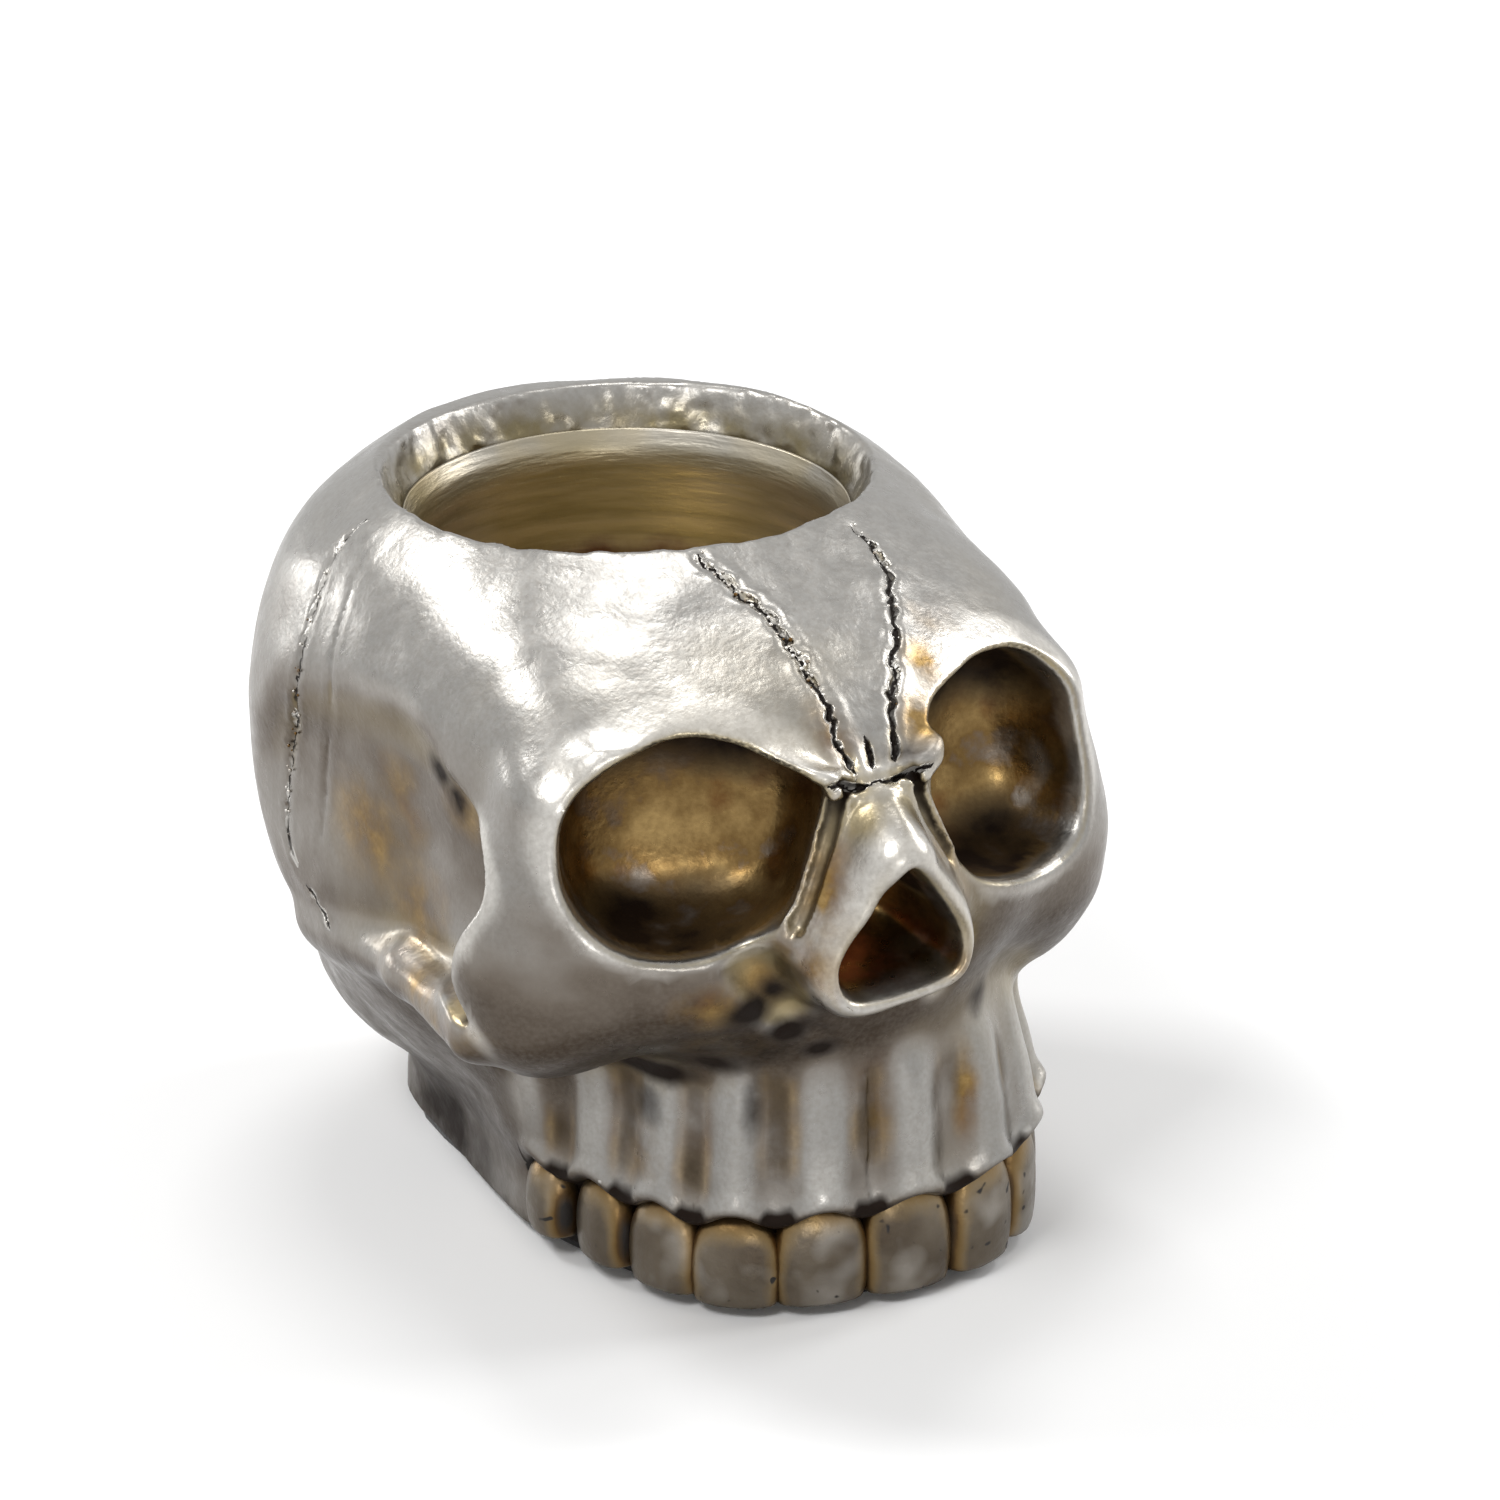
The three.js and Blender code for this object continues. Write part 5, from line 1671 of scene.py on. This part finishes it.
def photo_camera():
    """The camera that looks as the photograph does."""
    back = Vector((math.sin(VIEW_AZIMUTH) * math.cos(VIEW_ELEVATION),
                   -math.cos(VIEW_AZIMUTH) * math.cos(VIEW_ELEVATION), math.sin(VIEW_ELEVATION)))
    lens = bpy.data.cameras.new("photo_view")
    lens.lens = LENS
    lens.sensor_width = SENSOR
    lens.clip_start = 0.01
    camera = plain_object("photo_view", lens)
    camera.location = VIEW_AIM + back * VIEW_DISTANCE
    camera.rotation_euler = (-back).to_track_quat("-Z", "Y").to_euler()
    return camera


class SKULL_OT_stage(bpy.types.Operator):
    """Lays the pale floor and sets the soft lamps and the camera"""
    bl_idname = "skull.stage"
    bl_label = "Floor, lamps and camera"

    def execute(self, context):
        scene = context.scene
        scene.view_settings.view_transform = "Standard"
        paper_floor()
        scene.world = studio_world()
        for name, place, size, power in LAMPS:
            softbox(name, place, size, power)
        scene.camera = photo_camera()
        return {"FINISHED"}


class SkullSizes(bpy.types.PropertyGroup):
    """Sizes of the pieces that stand on or in the casting"""
    cup_diameter: bpy.props.FloatProperty(
        name="Cup diameter", description="Width inside the cup, which takes a tealight",
        default=0.0432, min=0.04, max=0.045, unit="LENGTH")
    cup_wall: bpy.props.FloatProperty(
        name="Cup floor thickness", description="Thickness of the cup's floor",
        default=0.0008, min=0.0005, max=0.002, unit="LENGTH")
    tooth_depth: bpy.props.FloatProperty(
        name="Tooth depth", description="How thick a crown is from front to back",
        default=0.0052, min=0.003, max=0.007, unit="LENGTH")
    tooth_squareness: bpy.props.FloatProperty(
        name="Tooth squareness", description="2 is an egg, more squares the crowns",
        default=2.25, min=2, max=6)
    chip_size: bpy.props.FloatProperty(
        name="Chip size", description="Width of the broken lumps along the cracks",
        default=0.00034, min=0.0002, max=0.0015, unit="LENGTH")
    chip_unevenness: bpy.props.FloatProperty(
        name="Chip unevenness", description="How much the lumps differ in size",
        default=0.45, min=0, max=0.9, subtype="FACTOR")


def colour_property(name, description, hexed):
    return bpy.props.FloatVectorProperty(
        name=name, description=description, subtype="COLOR", size=4, min=0, max=1, default=linear(hexed))


class SkullColours(bpy.types.PropertyGroup):
    """Colours of the paints, washes, resin, felt and floor, with the lit and shaded tones painted on the
    silver
    """
    # The silver's lit tone, painted on faces that look up
    silver: colour_property("Silver", "Silver paint on what looks up", "#94928e")
    # Painted shade on upright faces, also the darker flecks of the paint's grain
    silver_shade: colour_property("Silver shade", "Paint on upright faces, with more of the wash", "#746c63")
    # Rubbed and chipped edges, and the painted highlights
    bright: colour_property("Bright silver", "Paint on chipped and rubbed edges", "#cfccc6")
    # Painted shade on faces that look down, also the dark reflections painted on the teeth
    shade_brown: colour_property("Shade brown", "The paint on faces that look down", "#40352a")
    tooth: colour_property("Tooth silver", "The paint in the middle of each crown", "#6b6255")
    champagne: colour_property("Champagne", "Warm metallic tone of the sheltered places", "#94855f")
    # The cup's lighter streaks, painted reflections on its smooth wall
    cup_light: colour_property("Cup champagne", "Lighter tone of the cup's streaks", "#b8a884")
    wall_shade: colour_property("Shade of the chamfer", "Dark tone on the bowl's chamfer", "#6e6449")
    # The cup's base tone, between its painted reflection streaks
    olive: colour_property("Olive", "Darker tone of the cup's streaks", "#9a8c66")
    gold: colour_property("Antique gold", "Gilded hollows", "#9d8354")
    bronze: colour_property("Bronze", "Bronze wash over the gold", "#5c4423")
    rust: colour_property("Rust", "Reddish stains of the wash", "#5a3013")
    copper: colour_property("Copper", "Bare copper tone inside the nose", "#a0664a")
    umber: colour_property("Umber", "Dark brown wash in the hollows", "#20140b")
    soot: colour_property("Soot", "Near black wash in the cracks", "#150e09")
    resin: colour_property("Resin", "Bare cast resin", "#5a544b")
    felt: colour_property("Felt", "Pad under the foot", "#1c1b1a")
    floor: colour_property("Floor", "Light given back by the floor", "#8c8c8c")


OPERATORS = (SKULL_OT_casting, SKULL_OT_teeth, SKULL_OT_chips, SKULL_OT_cup, SKULL_OT_foot, SKULL_OT_stage)


class SKULL_PT_panel(bpy.types.Panel):
    """Lists the sizes, the colours and the steps that make the skull"""
    bl_idname = "SKULL_PT_panel"
    bl_label = "Skull candle holder"
    bl_space_type = "VIEW_3D"
    bl_region_type = "UI"
    bl_category = "Skull"

    def draw(self, context):
        layout = self.layout
        for group in (context.scene.skull_sizes, context.scene.skull_colours):
            column = layout.column()
            for name in group.bl_rna.properties.keys():
                if name not in ("rna_type", "name"):
                    column.prop(group, name)
        for operator in OPERATORS:
            layout.operator(operator.bl_idname)


CLASSES = (SkullSizes, SkullColours) + OPERATORS + (SKULL_PT_panel,)


def register():
    for made in CLASSES:
        bpy.utils.register_class(made)
    bpy.types.Scene.skull_sizes = bpy.props.PointerProperty(type=SkullSizes)
    bpy.types.Scene.skull_colours = bpy.props.PointerProperty(type=SkullColours)


def unregister():
    del bpy.types.Scene.skull_colours
    del bpy.types.Scene.skull_sizes
    for made in reversed(CLASSES):
        bpy.utils.unregister_class(made)


def main():
    register()
    bpy.ops.skull.casting()
    bpy.ops.skull.teeth()
    bpy.ops.skull.chips()
    bpy.ops.skull.cup()
    bpy.ops.skull.foot()
    bpy.ops.skull.stage()


if __name__ == "__main__":
    main()
